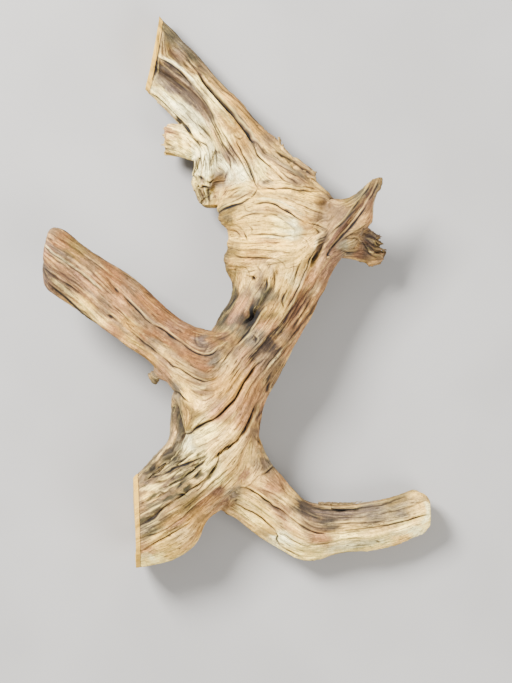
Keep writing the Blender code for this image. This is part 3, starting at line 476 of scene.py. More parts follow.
# Stains: the colour, its strength, half its width and the line that it lies along.
STAINS = [
    # The sawn limb.
    # In the scoop: the brown, ash, grey and mauve here are painted shade in its hollow under the
    # upper lip.
    ("brown", 0.75, 4.0, [(-88, 250), (-76, 246), (-64, 239), (-54, 229)]),
    ("ash", 0.75, 6.0, [(-86, 243), (-72, 238), (-58, 227), (-46, 212)]),
    ("grey", 0.8, 5.0, [(-64, 232), (-52, 224), (-40, 209), (-31, 194), (-24, 182)]),
    ("mauve", 0.6, 6.0, [(-90, 232), (-76, 226), (-62, 218), (-48, 205), (-38, 194)]),
    ("white", 0.85, 2.0, [(-85, 257), (-74, 251), (-62, 244), (-52, 235), (-44, 226)]),
    ("rust", 0.55, 3.6, [(-76, 266), (-68, 258), (-62, 252)]),
    ("brown", 0.5, 2.2, [(-58, 249), (-52, 243), (-46, 236)]),
    # Painted light: white on the scoop's lower bank, which faces the light.
    ("white", 0.8, 6.5, [(-84, 217), (-70, 206), (-56, 196), (-42, 182), (-32, 170)]),
    ("white", 0.8, 3.0, [(-95, 222), (-89, 221), (-84, 218)]),
    ("rust", 0.45, 2.4, [(-40, 196), (-28, 178), (-18, 160), (-10, 148)]),
    ("olive", 0.5, 3.0, [(-70, 285), (-50, 262), (-34, 244), (-18, 226)]),
    ("honey", 0.55, 5.0, [(-22, 226), (-2, 206), (16, 189), (34, 170)]),
    ("orange", 0.35, 3.0, [(-12, 222), (6, 202), (24, 184)]),
    ("moss", 0.85, 2.4, [(-32, 227), (-22, 215), (-8, 200), (4, 187)]),
    ("ash", 0.85, 3.6, [(-6, 199), (4, 187), (14, 172), (22, 161)]),
    ("grey", 0.7, 4.5, [(16, 168), (24, 156), (36, 147), (50, 140), (64, 132), (78, 124)]),
    ("white", 0.45, 1.6, [(-36, 228), (-24, 210), (-12, 194), (0, 178)]),
    ("honey", 0.4, 4.0, [(-10, 186), (-2, 172), (8, 158), (16, 142)]),
    # Painted shade: mauve along the converging lines.
    ("mauve", 0.6, 3.4, [(-14, 152), (-6, 144), (2, 136)]),
    ("mauve", 0.45, 3.0, [(6, 162), (14, 148), (20, 132)]),
    ("tan", 0.6, 3.0, [(48, 152), (62, 144), (78, 133), (88, 125)]),
    ("brown", 0.6, 2.2, [(54, 129), (62, 125), (68, 122)]),
    ("grey", 0.75, 3.6, [(27, 118), (34, 118), (38, 117)]),
    ("brown", 0.75, 2.0, [(31, 118), (34, 118)]),
    ("orange", 0.45, 3.2, [(76, 112), (88, 109), (98, 104)]),
    # The broken stub, the knob and the dome beside it.
    ("rust", 0.5, 1.6, [(-80, 174), (-70, 174), (-60, 172)]),
    ("orange", 0.6, 2.0, [(-80, 167), (-72, 167), (-64, 166)]),
    ("olive", 0.6, 2.0, [(-79, 156), (-72, 156), (-64, 158)]),
    ("ochre", 0.5, 2.4, [(-66, 176), (-62, 166), (-60, 154)]),
    ("moss", 0.5, 1.4, [(-54, 176), (-46, 166), (-40, 156)]),
    ("olive", 0.25, 1.3, [(-42, 158), (-38, 144), (-36, 130)]),
    ("olive", 0.25, 1.3, [(-32, 158), (-29, 142), (-28, 126)]),
    ("olive", 0.2, 1.2, [(-46, 146), (-44, 134), (-42, 124)]),
    ("olive", 0.2, 1.4, [(-24, 158), (-21, 146), (-20, 134)]),
    ("brown", 0.7, 3.2, [(-42, 124), (-36, 121)]),
    ("umber", 0.5, 2.4, [(-38, 113), (-30, 113), (-25, 114)]),
    # Painted shade: mauve in the hollow between the knob and the body.
    ("mauve", 0.7, 5.0, [(-27, 112), (-20, 119), (-12, 125), (-5, 129)]),
    ("olive", 0.5, 3.0, [(-42, 108), (-36, 102), (-28, 98)]),
    ("white", 0.8, 8.0, [(-6, 118), (4, 125), (12, 128)]),
    ("white", 0.85, 3.2, [(-47, 158), (-45, 146), (-44, 134)]),
    ("white", 0.9, 3.4, [(-36, 150), (-33, 138), (-33, 128)]),
    ("white", 0.85, 3.2, [(-25, 148), (-24, 138), (-24, 130)]),
    ("umber", 0.5, 1.6, [(-45, 116), (-41, 107), (-36, 99)]),
    ("umber", 0.45, 1.4, [(-33, 110), (-31, 102), (-30, 96)]),
    ("moss", 0.4, 2.0, [(-39, 112), (-37, 104), (-33, 97)]),
    ("cream", 0.8, 1.5, [(-36, 111), (-34, 103), (-32, 97)]),
    ("cream", 0.7, 1.5, [(-28, 110), (-27, 103), (-26, 97)]),
    ("straw", 0.6, 5.0, [(-20, 104), (-8, 108), (6, 112)]),
    ("rust", 0.45, 2.6, [(-4, 96), (6, 101), (16, 106), (21, 111)]),
    ("olive", 0.6, 3.4, [(-16, 88), (-10, 92)]),
    ("olive", 0.55, 3.0, [(-9, 80), (-4, 77)]),
    # The burl.
    ("gold", 0.85, 4.4, [(27, 106), (48, 102), (70, 100), (90, 98)]),
    ("orange", 0.3, 1.2, [(30, 104), (52, 100), (74, 98)]),
    ("gold", 0.6, 5.0, [(-2, 58), (12, 54), (26, 54)]),
    ("orange", 0.25, 2.4, [(60, 97), (76, 98), (92, 96)]),
    ("white", 0.65, 1.8, [(24, 98), (44, 96), (58, 90), (74, 81)]),
    # Painted shade: mauve along the arc below the crack.
    ("mauve", 0.35, 2.6, [(12, 84), (30, 86), (46, 82), (58, 74), (64, 66)]),
    ("white", 0.35, 3.4, [(48, 66), (58, 63), (70, 62)]),
    ("white", 0.6, 2.4, [(28, 57), (48, 57), (66, 57)]),
    ("orange", 0.55, 3.4, [(20, 54), (32, 53), (44, 52)]),
    ("orange", 0.4, 3.0, [(-6, 66), (2, 63), (10, 60)]),
    ("ochre", 0.5, 2.6, [(-8, 50), (-2, 44), (14, 43), (30, 42)]),
    ("olive", 0.5, 3.4, [(-9, 44), (-8, 34), (-6, 24)]),
    ("ochre", 0.45, 4.0, [(-4, 33), (8, 27), (20, 27)]),
    ("olive", 0.4, 2.0, [(-6, 22), (4, 20), (16, 20)]),
    ("orange", 0.4, 3.0, [(74, 68), (84, 68)]),
    ("mauve", 0.35, 3.0, [(24, 34), (32, 30), (38, 22), (40, 12)]),
    ("white", 0.5, 1.6, [(84, 46), (80, 34), (74, 18), (66, 0)]),
    ("white", 0.5, 1.4, [(90, 60), (86, 50), (82, 40)]),
    ("white", 0.3, 6.0, [(52, 20), (60, 12), (68, 4)]),
    # Round the hole, and the thumb over it.
    ("moss", 0.75, 4.4, [(-1, 8), (-4, -6), (-12, -20), (-20, -34)]),
    ("moss", 0.5, 2.0, [(2, -2), (-4, -12), (-12, -24)]),
    ("mauve", 0.5, 4.0, [(28, 24), (26, 8), (20, -8), (10, -20)]),
    ("cream", 0.3, 5.0, [(14, 8), (20, 0), (24, -8)]),
    ("mauve", 0.4, 4.0, [(14, -20), (4, -28), (-4, -34)]),
    ("umber", 0.55, 2.0, [(33, 14), (32, 4), (29, -2)]),
    # Painted shadow: dark green down the right side of the thumb.
    ("moss", 0.6, 4.0, [(36, 6), (30, -8), (24, -18)]),
    ("moss", 0.9, 8.5, [(6, -37), (14, -29), (25, -17)]),
    # Painted shadow: black deep in the hole.
    ("hole_shadow", 1.0, 8.4, [(10, -34), (15.5, -27), (21.5, -18)]),
    ("olive", 0.6, 5.0, [(-22, -42), (-8, -42), (6, -40)]),
    ("umber", 1.0, 2.1, [(17, 13.5), (19, 12)]),
    ("umber", 0.7, 2.4, [(19, -51), (21, -53)]),
    ("honey", 0.55, 5.0, [(30, -22), (38, -16), (44, -12)]),
    ("orange", 0.5, 4.0, [(30, -36), (40, -32), (46, -28)]),
    # The trunk's right side.
    ("moss", 0.75, 2.6, [(83, 28), (87, 38), (91, 48), (95, 57)]),
    ("ash", 0.9, 4.2, [(90, 50), (96, 60), (101, 65)]),
    ("ash", 0.8, 3.4, [(85, 36), (88, 44), (92, 54)]),
    ("white", 0.75, 1.0, [(66, -8), (58, -20), (52, -29), (46, -38)]),
    ("orange", 0.65, 5.0, [(84, 4), (72, -14), (60, -30), (50, -42)]),
    ("rust", 0.85, 4.4, [(82, 0), (72, -14), (60, -26), (48, -38)]),
    ("brown", 0.95, 5.6, [(52, -36), (41, -48), (31, -58), (22, -66), (12, -75)]),
    ("umber", 0.5, 2.4, [(46, -43), (36, -53), (26, -62), (18, -69)]),
    ("white", 0.4, 1.2, [(56, -54), (46, -68), (36, -82)]),
    ("pale", 0.9, 3.4, [(102, 4), (93, -14), (81, -34), (67, -56), (54, -77)]),
    ("white", 0.25, 3.6, [(92, 10), (86, 0), (80, -8)]),
    ("mauve", 0.4, 3.0, [(40, -72), (28, -88), (18, -100)]),
    ("grey", 0.45, 4.0, [(14, -52), (22, -46), (34, -44)]),
    # The spike and the torn stub.
    ("rust", 0.95, 4.4, [(97, 40), (108, 56), (118, 69), (127, 82)]),
    ("pink", 0.4, 1.0, [(102, 50), (112, 62), (122, 74)]),
    ("rust", 0.85, 3.4, [(128, 84), (138, 97), (149, 114)]),
    ("pale", 0.4, 5.0, [(124, 60), (132, 70), (140, 84)]),
    ("olive", 0.6, 4.0, [(124, 94), (138, 108), (150, 119)]),
    ("umber", 0.5, 1.5, [(116, 74), (128, 90), (140, 106), (152, 120)]),
    ("white", 0.4, 1.4, [(150, 104), (148, 92), (146, 82)]),
    ("rust", 0.7, 2.0, [(138, 56), (148, 49), (158, 44)]),
    ("umber", 0.3, 1.3, [(141, 52), (150, 46), (158, 40)]),
    ("umber", 0.3, 1.2, [(144, 60), (152, 56), (159, 50)]),
    ("umber", 0.3, 1.2, [(140, 44), (150, 38), (156, 35)]),
    ("mauve", 0.5, 3.0, [(140, 40), (146, 48), (148, 58)]),
    ("pale", 0.55, 2.4, [(118, 37), (132, 35), (146, 32)]),
    ("white", 0.3, 5.0, [(110, 50), (122, 50), (132, 52)]),
    # The upper left branch.
    ("white", 0.6, 2.0, [(-206, 50), (-192, 38), (-176, 27), (-160, 15), (-144, 2)]),
    # Painted shade: a line above the pale streak.
    ("mauve", 0.55, 1.8, [(-202, 52), (-186, 40), (-168, 27), (-150, 14)]),
    ("rust", 0.45, 2.6, [(-206, 34), (-190, 24), (-174, 12), (-160, 0)]),
    ("peach", 0.6, 2.0, [(-204, 40), (-190, 28), (-176, 16)]),
    ("brown", 0.6, 4.0, [(-209, 24), (-200, 16), (-188, 6), (-174, -4)]),
    ("cream", 0.6, 2.4, [(-198, 12), (-184, 1), (-170, -11), (-156, -24), (-146, -34)]),
    ("umber", 0.5, 1.6, [(-196, 5), (-180, -9), (-164, -22), (-150, -35)]),
    ("grey", 0.6, 2.6, [(-162, 2), (-150, -8), (-138, -20), (-124, -38), (-112, -48)]),
    ("brown", 0.75, 2.0, [(-136, -26), (-133, -28)]),
    ("brown", 0.7, 1.5, [(-128, 2), (-126, -1)]),
    ("orange", 0.45, 3.0, [(-152, -6), (-140, -16), (-128, -30)]),
    ("rust", 0.4, 1.6, [(-130, -16), (-118, -28), (-106, -36)]),
    # Painted highlight: a pale line beside the dark crack.
    ("cream", 0.5, 1.6, [(-122, -24), (-112, -32), (-102, -38)]),
    ("grey", 0.5, 2.0, [(-118, -6), (-104, -20), (-92, -31), (-78, -38)]),
    ("orange", 0.5, 5.0, [(-104, -4), (-90, -14), (-74, -26)]),
    ("gold", 0.4, 3.0, [(-78, -66), (-70, -70), (-64, -76)]),
    ("orange", 0.7, 6.0, [(-74, -56), (-62, -64), (-50, -73), (-38, -81)]),
    ("orange", 0.6, 4.0, [(-36, -84), (-28, -86)]),
    ("cream", 0.5, 2.6, [(-60, -100), (-44, -104), (-30, -102)]),
    ("mauve", 0.4, 3.0, [(-110, -48), (-92, -60), (-76, -70)]),
    ("peach", 0.5, 2.4, [(-146, -36), (-128, -48), (-108, -60), (-92, -72)]),
    ("grey", 0.5, 4.0, [(-26, -76), (-16, -80), (-8, -74)]),
    ("ochre", 0.95, 7.5, [(-26, -50), (-12, -51), (0, -56)]),
    ("rust", 0.8, 6.0, [(-24, -51), (-10, -52), (0, -57)]),
    # The lower trunk.
    ("moss", 0.85, 3.4, [(-66, -120), (-64, -132), (-62, -144), (-60, -156)]),
    ("honey", 0.6, 5.0, [(-56, -122), (-54, -134), (-50, -144)]),
    ("moss", 0.75, 2.2, [(-58, -158), (-64, -170), (-74, -182), (-86, -193), (-98, -201)]),
    ("pale", 0.6, 2.4, [(-69, -146), (-68, -160), (-78, -174), (-90, -186)]),
    ("olive", 0.5, 2.0, [(-70, -152), (-76, -168), (-88, -180), (-102, -194)]),
    ("white", 0.7, 4.5, [(-62, -168), (-52, -168), (-44, -176)]),
    ("moss", 0.55, 2.2, [(-80, -199), (-70, -193), (-60, -188), (-48, -184), (-34, -178)]),
    ("moss", 0.5, 1.8, [(-58, -201), (-48, -194), (-38, -187)]),
    ("moss", 0.5, 3.0, [(-92, -198), (-82, -190), (-74, -184)]),
    ("moss", 0.2, 1.6, [(-40, -196), (-32, -188), (-24, -180)]),
    ("cream", 0.35, 5.0, [(-58, -196), (-46, -198), (-34, -194)]),
    ("mauve", 0.6, 2.6, [(-99, -206), (-94, -208)]),
    ("olive", 0.5, 3.0, [(-76, -218), (-64, -212), (-54, -206)]),
    ("olive", 0.55, 4.0, [(-100, -234), (-88, -230), (-76, -228)]),
    ("cream", 0.6, 3.4, [(-100, -214), (-90, -212), (-80, -214)]),
    ("umber", 0.7, 2.0, [(-59, -219), (-55, -220)]),
    ("ash", 0.5, 3.4, [(-103, -256), (-92, -254), (-80, -246), (-66, -236)]),
    ("ochre", 0.5, 4.0, [(-84, -252), (-66, -240), (-46, -226), (-30, -212)]),
    ("straw", 0.6, 4.0, [(-96, -274), (-76, -264), (-54, -252)]),
    ("white", 0.65, 4.0, [(-103, -288), (-96, -286), (-88, -292)]),
    ("cream", 0.5, 2.0, [(-92, -298), (-70, -291), (-52, -282)]),
    ("orange", 0.4, 5.0, [(-60, -282), (-48, -270), (-40, -258)]),
    ("cream", 0.5, 2.4, [(-48, -160), (-28, -154), (-10, -142), (2, -130)]),
    ("orange", 0.25, 4.0, [(-6, -196), (2, -186), (8, -174)]),
    ("olive", 0.45, 2.0, [(-30, -194), (-20, -186), (-12, -178)]),
    # Painted shade: light mauve on the trunk's lower right.
    ("mauve", 0.4, 4.0, [(16, -182), (22, -190), (32, -190)]),
    ("pale", 0.5, 2.0, [(18, -180), (28, -179), (36, -184)]),
    ("rust", 0.5, 1.6, [(28, -124), (24, -132), (22, -142)]),
    ("rust", 0.7, 1.3, [(36, -98), (34, -103), (31, -108)]),
    ("mauve", 0.4, 3.0, [(22, -122), (24, -140), (22, -158)]),
    # The lower right branch.
    ("olive", 0.4, 5.0, [(-83, -90), (-90, -92), (-88, -99)]),
    ("mauve", 0.5, 2.6, [(-12, -230), (-2, -222), (6, -214)]),
    ("rust", 0.4, 2.2, [(10, -209), (24, -214), (38, -224), (54, -236)]),
    ("mauve", 0.45, 2.4, [(20, -222), (34, -231), (50, -242)]),
    ("cream", 0.6, 4.0, [(4, -226), (22, -236), (40, -248), (54, -256)]),
    ("white", 0.7, 4.0, [(46, -270), (54, -275), (62, -280)]),
    ("cream", 0.6, 4.4, [(0, -236), (16, -246), (32, -256)]),
    ("brown", 0.4, 3.4, [(68, -231), (74, -241), (82, -250)]),
    ("ash", 0.6, 4.0, [(78, -240), (88, -246), (100, -252)]),
    ("mauve", 0.5, 3.4, [(90, -240), (110, -243), (130, -241), (152, -237)]),
    ("moss", 0.75, 2.0, [(86, -233), (100, -236), (118, -237), (138, -236)]),
    ("straw", 0.6, 1.4, [(100, -233), (118, -234), (136, -233)]),
    ("olive", 0.55, 1.8, [(150, -233), (170, -229), (190, -222)]),
    ("orange", 0.3, 3.0, [(80, -271), (94, -272), (110, -268)]),
    ("white", 0.75, 5.4, [(100, -284), (120, -279), (146, -275), (166, -270)]),
    ("white", 0.5, 4.0, [(166, -266), (184, -262), (200, -258)]),
    ("grey", 0.5, 2.2, [(128, -246), (150, -243), (176, -236), (200, -228)]),
    ("cream", 0.6, 2.4, [(166, -253), (184, -250), (204, -245)]),
    ("orange", 0.5, 2.4, [(184, -248), (194, -246)]),
    ("ochre", 0.6, 1.8, [(154, -272), (156, -274)]),
    ("white", 0.8, 3.0, [(200, -256), (208, -248), (210, -236), (206, -228)]),
    ("rust", 0.35, 1.6, [(108, -253), (130, -252), (152, -250)]),
]

# Cracks that the camera sees: how dark the shade painted into each is, half its width and the
# points that it passes.
# A crack changes the wood up to CRACK_REACH to each side of it.
CRACK_REACH = 8.0
CRACKS = [
    # The sawn limb.
    (1.0, 0.9, [(-82, 284), (-83, 274), (-84, 263)]),
    (0.8, 0.5, [(-84, 264), (-86.5, 248), (-91, 231), (-92, 226)]),
    (0.8, 0.7, [(-86, 254), (-76, 250), (-66, 243), (-57, 234), (-48, 224)]),
    (0.5, 0.4, [(-44, 218), (-36, 206), (-28, 192), (-20, 177), (-12, 161)]),
    (0.7, 0.5, [(-52, 252), (-44, 242), (-36, 232), (-28, 222)]),
    (1.0, 1.3, [(-34, 229), (-22, 214), (-8, 199), (5, 184), (15, 170), (22, 159)]),
    (0.5, 0.35, [(-64, 266), (-50, 251), (-38, 238), (-24, 222)]),
    (0.45, 0.35, [(-30, 238), (-10, 217), (10, 197), (30, 178)]),
    (0.35, 0.3, [(-6, 208), (14, 188), (34, 169)]),
    (0.9, 0.7, [(-93, 217), (-84, 209.5), (-74, 200), (-64, 189), (-54, 178), (-44, 168)]),
    (0.8, 0.6, [(-44, 168), (-36, 161), (-30, 156)]),
    (0.7, 0.5, [(-42, 181), (-36, 174), (-29, 166)]),
    (0.5, 0.4, [(-64, 208), (-56, 201), (-48, 193)]),
    (0.4, 0.35, [(-72, 214), (-62, 206)]),
    (0.45, 0.35, [(-56, 196), (-48, 186), (-40, 178)]),
    (0.7, 0.45, [(-30, 190), (-22, 176), (-14, 160), (-6, 148), (0, 139)]),
    (0.6, 0.4, [(-20, 181), (-12, 168), (-4, 154), (4, 142), (12, 128), (18, 118)]),
    (0.5, 0.35, [(-26, 180), (-18, 164), (-10, 150)]),
    (0.85, 0.5, [(0, 163), (6, 151), (12, 138), (17, 126), (21, 116), (25, 110)]),
    (0.7, 0.45, [(9, 148), (14, 138), (18, 128), (22, 119)]),
    (0.6, 0.4, [(-2, 168), (4, 165), (9, 168)]),
    (0.9, 0.8, [(20, 160), (23, 150), (28, 143), (35, 137), (41, 132)]),
    (0.6, 0.45, [(41, 132), (48, 125), (55, 119), (60, 116)]),
    (0.55, 0.4, [(44, 134), (52, 126), (60, 120), (68, 115)]),
    (0.5, 0.35, [(16, 168), (26, 158), (36, 148), (44, 143)]),
    (0.7, 0.5, [(40, 152), (52, 147), (64, 140), (76, 132), (86, 124)]),
    (0.4, 0.35, [(46, 137), (58, 130), (68, 124)]),
    (0.8, 0.6, [(58, 127), (63, 124.5), (67, 123)]),
    (0.5, 0.4, [(72, 121), (84, 115), (96, 108)]),
    (0.7, 0.4, [(25, 110), (42, 111), (60, 110.5), (76, 108), (92, 105)]),
    (0.5, 0.4, [(62, 113), (76, 111), (88, 108)]),
    (0.4, 0.3, [(29, 123), (24, 117), (27, 112), (36, 112)]),
    # The broken stub, the knob and the dome beside it.
    (0.5, 0.5, [(-80, 173), (-72, 173), (-62, 170)]),
    (0.4, 0.4, [(-80, 164), (-70, 164), (-60, 163)]),
    (0.6, 0.6, [(-79, 156), (-74, 156)]),
    (0.7, 0.5, [(-50, 172), (-42, 163), (-37, 152)]),
    (0.6, 0.45, [(-40, 158), (-38, 146), (-37, 132)]),
    (0.6, 0.45, [(-31, 156), (-28, 144), (-29, 130)]),
    (0.5, 0.4, [(-44, 146), (-43, 136), (-41, 128)]),
    (0.6, 0.4, [(-24, 158), (-21, 148), (-20, 138)]),
    (0.6, 0.5, [(-8, 146), (-6, 138), (-7, 130)]),
    (0.9, 1.2, [(-41, 125), (-37, 122)]),
    (0.9, 0.9, [(-43, 111), (-36, 112), (-28, 112)]),
    (0.7, 0.8, [(-33, 119), (-27, 117), (-23, 121)]),
    (0.6, 0.5, [(-40, 104), (-34, 101), (-28, 102)]),
    (0.6, 0.5, [(-46, 118), (-42, 109), (-37, 100)]),
    (0.6, 0.45, [(-38, 116), (-37, 108), (-33, 98)]),
    (0.5, 0.45, [(-31, 112), (-30, 104), (-29, 96)]),
    (0.6, 0.5, [(-47, 140), (-46, 130), (-45, 121)]),
    (0.5, 0.5, [(-34, 148), (-33, 138), (-35, 128)]),
    (0.95, 0.8, [(-20, 84), (-12, 88), (-2, 91.5), (8, 95), (16, 99)]),
    (0.6, 0.45, [(16, 99), (20, 104), (24, 110)]),
    (0.6, 0.4, [(-4, 94), (3, 98), (10, 103), (15, 106)]),
    (0.35, 0.35, [(-18, 108), (-6, 110), (8, 113), (16, 114)]),
    (0.3, 0.3, [(-16, 100), (-4, 103), (6, 106)]),
    # The burl.
    (0.85, 0.5, [(20, 93), (30, 94), (42, 92), (52, 87), (62, 81), (73, 75)]),
    (0.6, 0.4, [(63, 95), (73, 92), (84, 88), (96, 84)]),
    (0.6, 0.45, [(3, 76), (10, 80), (20, 82), (32, 82)]),
    (0.35, 0.35, [(32, 82), (44, 80), (56, 73), (63, 66)]),
    (0.4, 0.35, [(10, 92), (12, 86), (18, 84)]),
    (0.7, 0.5, [(8, 63), (11, 58), (13, 54)]),
    (0.5, 0.4, [(-4, 66), (2, 62), (6, 58)]),
    (0.5, 0.4, [(14, 70), (18, 66), (17, 62)]),
    (0.4, 0.4, [(2, 70), (6, 66)]),
    (0.7, 0.35, [(14, 60), (30, 60.5), (46, 59.5), (62, 59)]),
    (0.4, 0.3, [(62, 59), (76, 61), (88, 62)]),
    (0.6, 0.4, [(80, 73), (90, 71), (97, 66)]),
    (0.6, 0.4, [(86, 68), (91, 64), (86, 60)]),
    (0.35, 0.3, [(68, 60), (76, 54), (80, 46)]),
    (0.35, 0.3, [(-4, 53), (14, 50), (34, 51)]),
    (0.4, 0.35, [(14, 43), (24, 44), (44, 42), (62, 40)]),
    (0.75, 0.4, [(-1, 40), (5, 36), (16, 35), (30, 35), (42, 34)]),
    (0.4, 0.35, [(42, 34), (50, 30), (54, 24)]),
    (0.45, 0.4, [(62, 30), (62, 22), (60, 14)]),
    (0.5, 0.35, [(72, 36), (66, 22), (62, 8)]),
    (0.8, 0.45, [(84, 44), (78, 28), (72, 12), (64, -6), (54, -20)]),
    (0.35, 0.3, [(8, 27), (14, 21), (14, 14)]),
    (0.4, 0.35, [(24, 25), (27, 21)]),
    # Round the hole, and the thumb over it.
    (0.8, 0.7, [(34, 14), (33.5, 6), (31, 0)]),
    (0.6, 0.4, [(40, 24), (42, 14), (41, 4), (37, -4)]),
    (0.5, 0.5, [(27, -6), (24, -12), (22, -18)]),
    (1.0, 0.6, [(32, -16), (26, -23), (21, -32), (15, -42), (8, -50), (0, -58)]),
    (0.6, 0.4, [(0, -58), (-6, -66), (-12, -74), (-18, -84)]),
    (0.8, 0.6, [(56, 1), (52, -5), (50, -12), (52, -18)]),
    (0.6, 0.5, [(47, -3), (45, -10)]),
    (0.7, 0.6, [(3, -3), (-4, -12), (-11, -22)]),
    (0.5, 0.4, [(8, 4), (4, -2)]),
    (0.4, 0.3, [(-2, 16), (-3, 4), (-8, -10)]),
    (0.6, 0.5, [(19, -48), (22, -52), (20, -56)]),
    (0.5, 0.35, [(34, -44), (24, -56), (10, -70)]),
    (0.5, 0.35, [(2, -78), (-4, -88), (-10, -94)]),
    (0.45, 0.35, [(12, -66), (4, -78), (-4, -90)]),
    # The trunk's right side.
    (0.9, 0.8, [(81, 26), (85, 34), (89, 42)]),
    (0.9, 0.6, [(101, 43), (99, 38), (103, 44)]),
    (0.5, 0.4, [(94, -1), (86, -13), (76, -28), (64, -44), (52, -58)]),
    (0.6, 0.5, [(84, -6), (74, -22), (62, -38)]),
    (0.5, 0.4, [(78, -8), (66, -26), (54, -40)]),
    (0.8, 0.5, [(50, -60), (40, -72), (30, -86)]),
    (0.5, 0.35, [(62, -50), (50, -66), (40, -80)]),
    (0.6, 0.5, [(84, -18), (79, -25), (76, -30)]),
    (0.5, 0.4, [(66, -14), (58, -26), (48, -40), (38, -50)]),
    (0.35, 0.35, [(90, 16), (84, 4), (76, -8)]),
    # The spike and the torn stub.
    (0.9, 0.6, [(104, 63), (112, 70), (120, 79), (128, 90), (134, 99)]),
    (0.8, 0.5, [(134, 99), (140, 108), (146, 118)]),
    (1.0, 0.65, [(101, 43), (108, 51), (116, 60), (125, 70), (134, 82), (142, 95)]),
    (0.8, 0.5, [(142, 95), (149, 108), (154, 119)]),
    (0.6, 0.4, [(120, 78), (126, 84), (130, 88)]),
    (0.4, 0.35, [(110, 50), (122, 60), (136, 68), (146, 76)]),
    (0.5, 0.4, [(140, 58), (148, 53), (157, 48)]),
    (0.5, 0.4, [(142, 50), (150, 45), (159, 40)]),
    (0.4, 0.4, [(144, 62), (152, 58), (158, 53)]),
    (0.4, 0.4, [(138, 46), (146, 40), (154, 36)]),
    (0.6, 0.5, [(138, 54), (142, 46), (146, 40)]),
    (0.5, 0.4, [(112, 44), (124, 42), (134, 44)]),
    (0.4, 0.35, [(116, 56), (128, 56), (138, 52)]),
    # The upper left branch.
    (0.45, 0.4, [(-206, 48), (-190, 35), (-172, 22), (-156, 10), (-140, -4)]),
    (0.5, 0.45, [(-202, 40), (-188, 30), (-176, 20)]),
    (0.6, 0.5, [(-206, 24), (-192, 14), (-178, 4), (-166, -6)]),
    (0.8, 0.6, [(-200, 8), (-186, -6), (-172, -17), (-158, -30), (-148, -38)]),
    (0.4, 0.35, [(-190, 22), (-174, 10), (-160, -2)]),
    (0.35, 0.3, [(-196, 60), (-176, 48), (-156, 34), (-136, 18)]),
    (0.55, 0.35, [(-138, 14), (-130, 4), (-121, -4)]),
    (0.9, 0.5, [(-121, -4), (-113, -13), (-104, -22), (-96, -31), (-88, -37)]),
    (1.0, 0.6, [(-88, -37), (-79, -41), (-69, -49), (-58, -56)]),
    (0.9, 0.5, [(-58, -56), (-48, -64), (-40, -68), (-31, -70), (-23, -67), (-18, -62)]),
    (0.6, 0.4, [(-112, -44), (-102, -54), (-90, -63), (-78, -71)]),
    (0.8, 0.45, [(-78, -71), (-66, -80), (-54, -87), (-44, -94), (-34, -98), (-25, -96)]),
    (0.6, 0.45, [(-131, -17), (-122, -25), (-112, -34)]),
    (0.8, 0.8, [(-136, -26), (-132, -29)]),
    (0.7, 0.6, [(-129, 2), (-126, -1)]),
    (0.5, 0.4, [(-78, -59), (-70, -62)]),
    (0.4, 0.3, [(-62, -42), (-58, -45)]),
    (0.4, 0.35, [(-64, -86), (-54, -94), (-42, -101)]),
    (0.35, 0.3, [(-160, 24), (-146, 12), (-130, -4)]),
    (0.35, 0.3, [(-156, -18), (-142, -30), (-128, -40)]),
    (0.35, 0.3, [(-44, -46), (-44, -54), (-40, -60)]),
    (0.4, 0.35, [(-30, -60), (-34, -67)]),
    # The lower trunk.
    (0.85, 0.6, [(-66, -107), (-60, -112), (-54, -117), (-48, -120)]),
    (0.8, 0.7, [(-64, -124), (-62, -136), (-60, -148)]),
    (1.0, 0.9, [(-58, -154), (-50, -153), (-43, -147), (-33, -142), (-24, -138)]),
    (0.9, 0.6, [(-24, -138), (-16, -132), (-8, -124), (0, -116), (5, -108), (9, -100)]),
    (0.85, 0.45, [(9, -100), (15, -91), (22, -82), (30, -74)]),
    (0.5, 0.4, [(-44, -146), (-36, -138), (-28, -134)]),
    (0.9, 0.8, [(25, -118), (21, -128), (17, -138), (12, -148), (6, -157)]),
    (0.7, 0.5, [(4, -160), (-3, -166), (-10, -171), (-16, -176)]),
    (0.7, 0.5, [(-6, -164), (-9, -169)]),
    (0.7, 0.5, [(-10, -167), (-13, -173)]),
    (0.7, 0.5, [(-16, -172), (-20, -179)]),
    (0.8, 0.6, [(-17, -176), (-20, -186), (-26, -196), (-34, -204)]),
    (0.8, 0.6, [(-34, -204), (-44, -211), (-56, -219), (-66, -225)]),
    (0.8, 0.5, [(-66, -225), (-78, -233), (-88, -244), (-104, -253)]),
    (0.9, 0.8, [(-78, -198), (-68, -191), (-58, -188), (-46, -183), (-34, -178)]),
    (0.8, 0.6, [(-56, -200), (-46, -193), (-38, -187)]),
    (0.8, 0.7, [(-98, -200), (-86, -191), (-76, -182)]),
    (0.7, 0.6, [(-92, -198), (-80, -188), (-66, -176)]),
    (0.6, 0.5, [(-30, -186), (-24, -180), (-20, -175)]),
    (0.6, 0.5, [(-72, -204), (-66, -198)]),
    (0.8, 0.8, [(-60, -219), (-55, -220)]),
    (0.6, 1.1, [(-102, -198), (-92, -190), (-82, -180), (-72, -170), (-65, -162)]),
    (0.6, 0.9, [(-96, -203), (-88, -199), (-81, -198)]),
    (0.6, 0.8, [(-70, -207), (-60, -203), (-50, -196)]),
    (0.6, 0.7, [(-50, -203), (-42, -198), (-35, -190)]),
    (0.7, 0.9, [(-86, -207), (-78, -204)]),
    (0.7, 0.9, [(-62, -184), (-54, -180), (-46, -175)]),
    (0.7, 0.9, [(-44, -192), (-36, -186), (-30, -178)]),
    (0.6, 0.7, [(-74, -214), (-66, -209)]),
    (0.6, 0.5, [(-64, -213), (-58, -208)]),
    (0.5, 0.5, [(-82, -216), (-76, -217)]),
    (0.5, 0.4, [(-98, -232), (-86, -226), (-76, -224)]),
    (0.5, 0.35, [(-52, -222), (-38, -211), (-26, -200), (-18, -188)]),
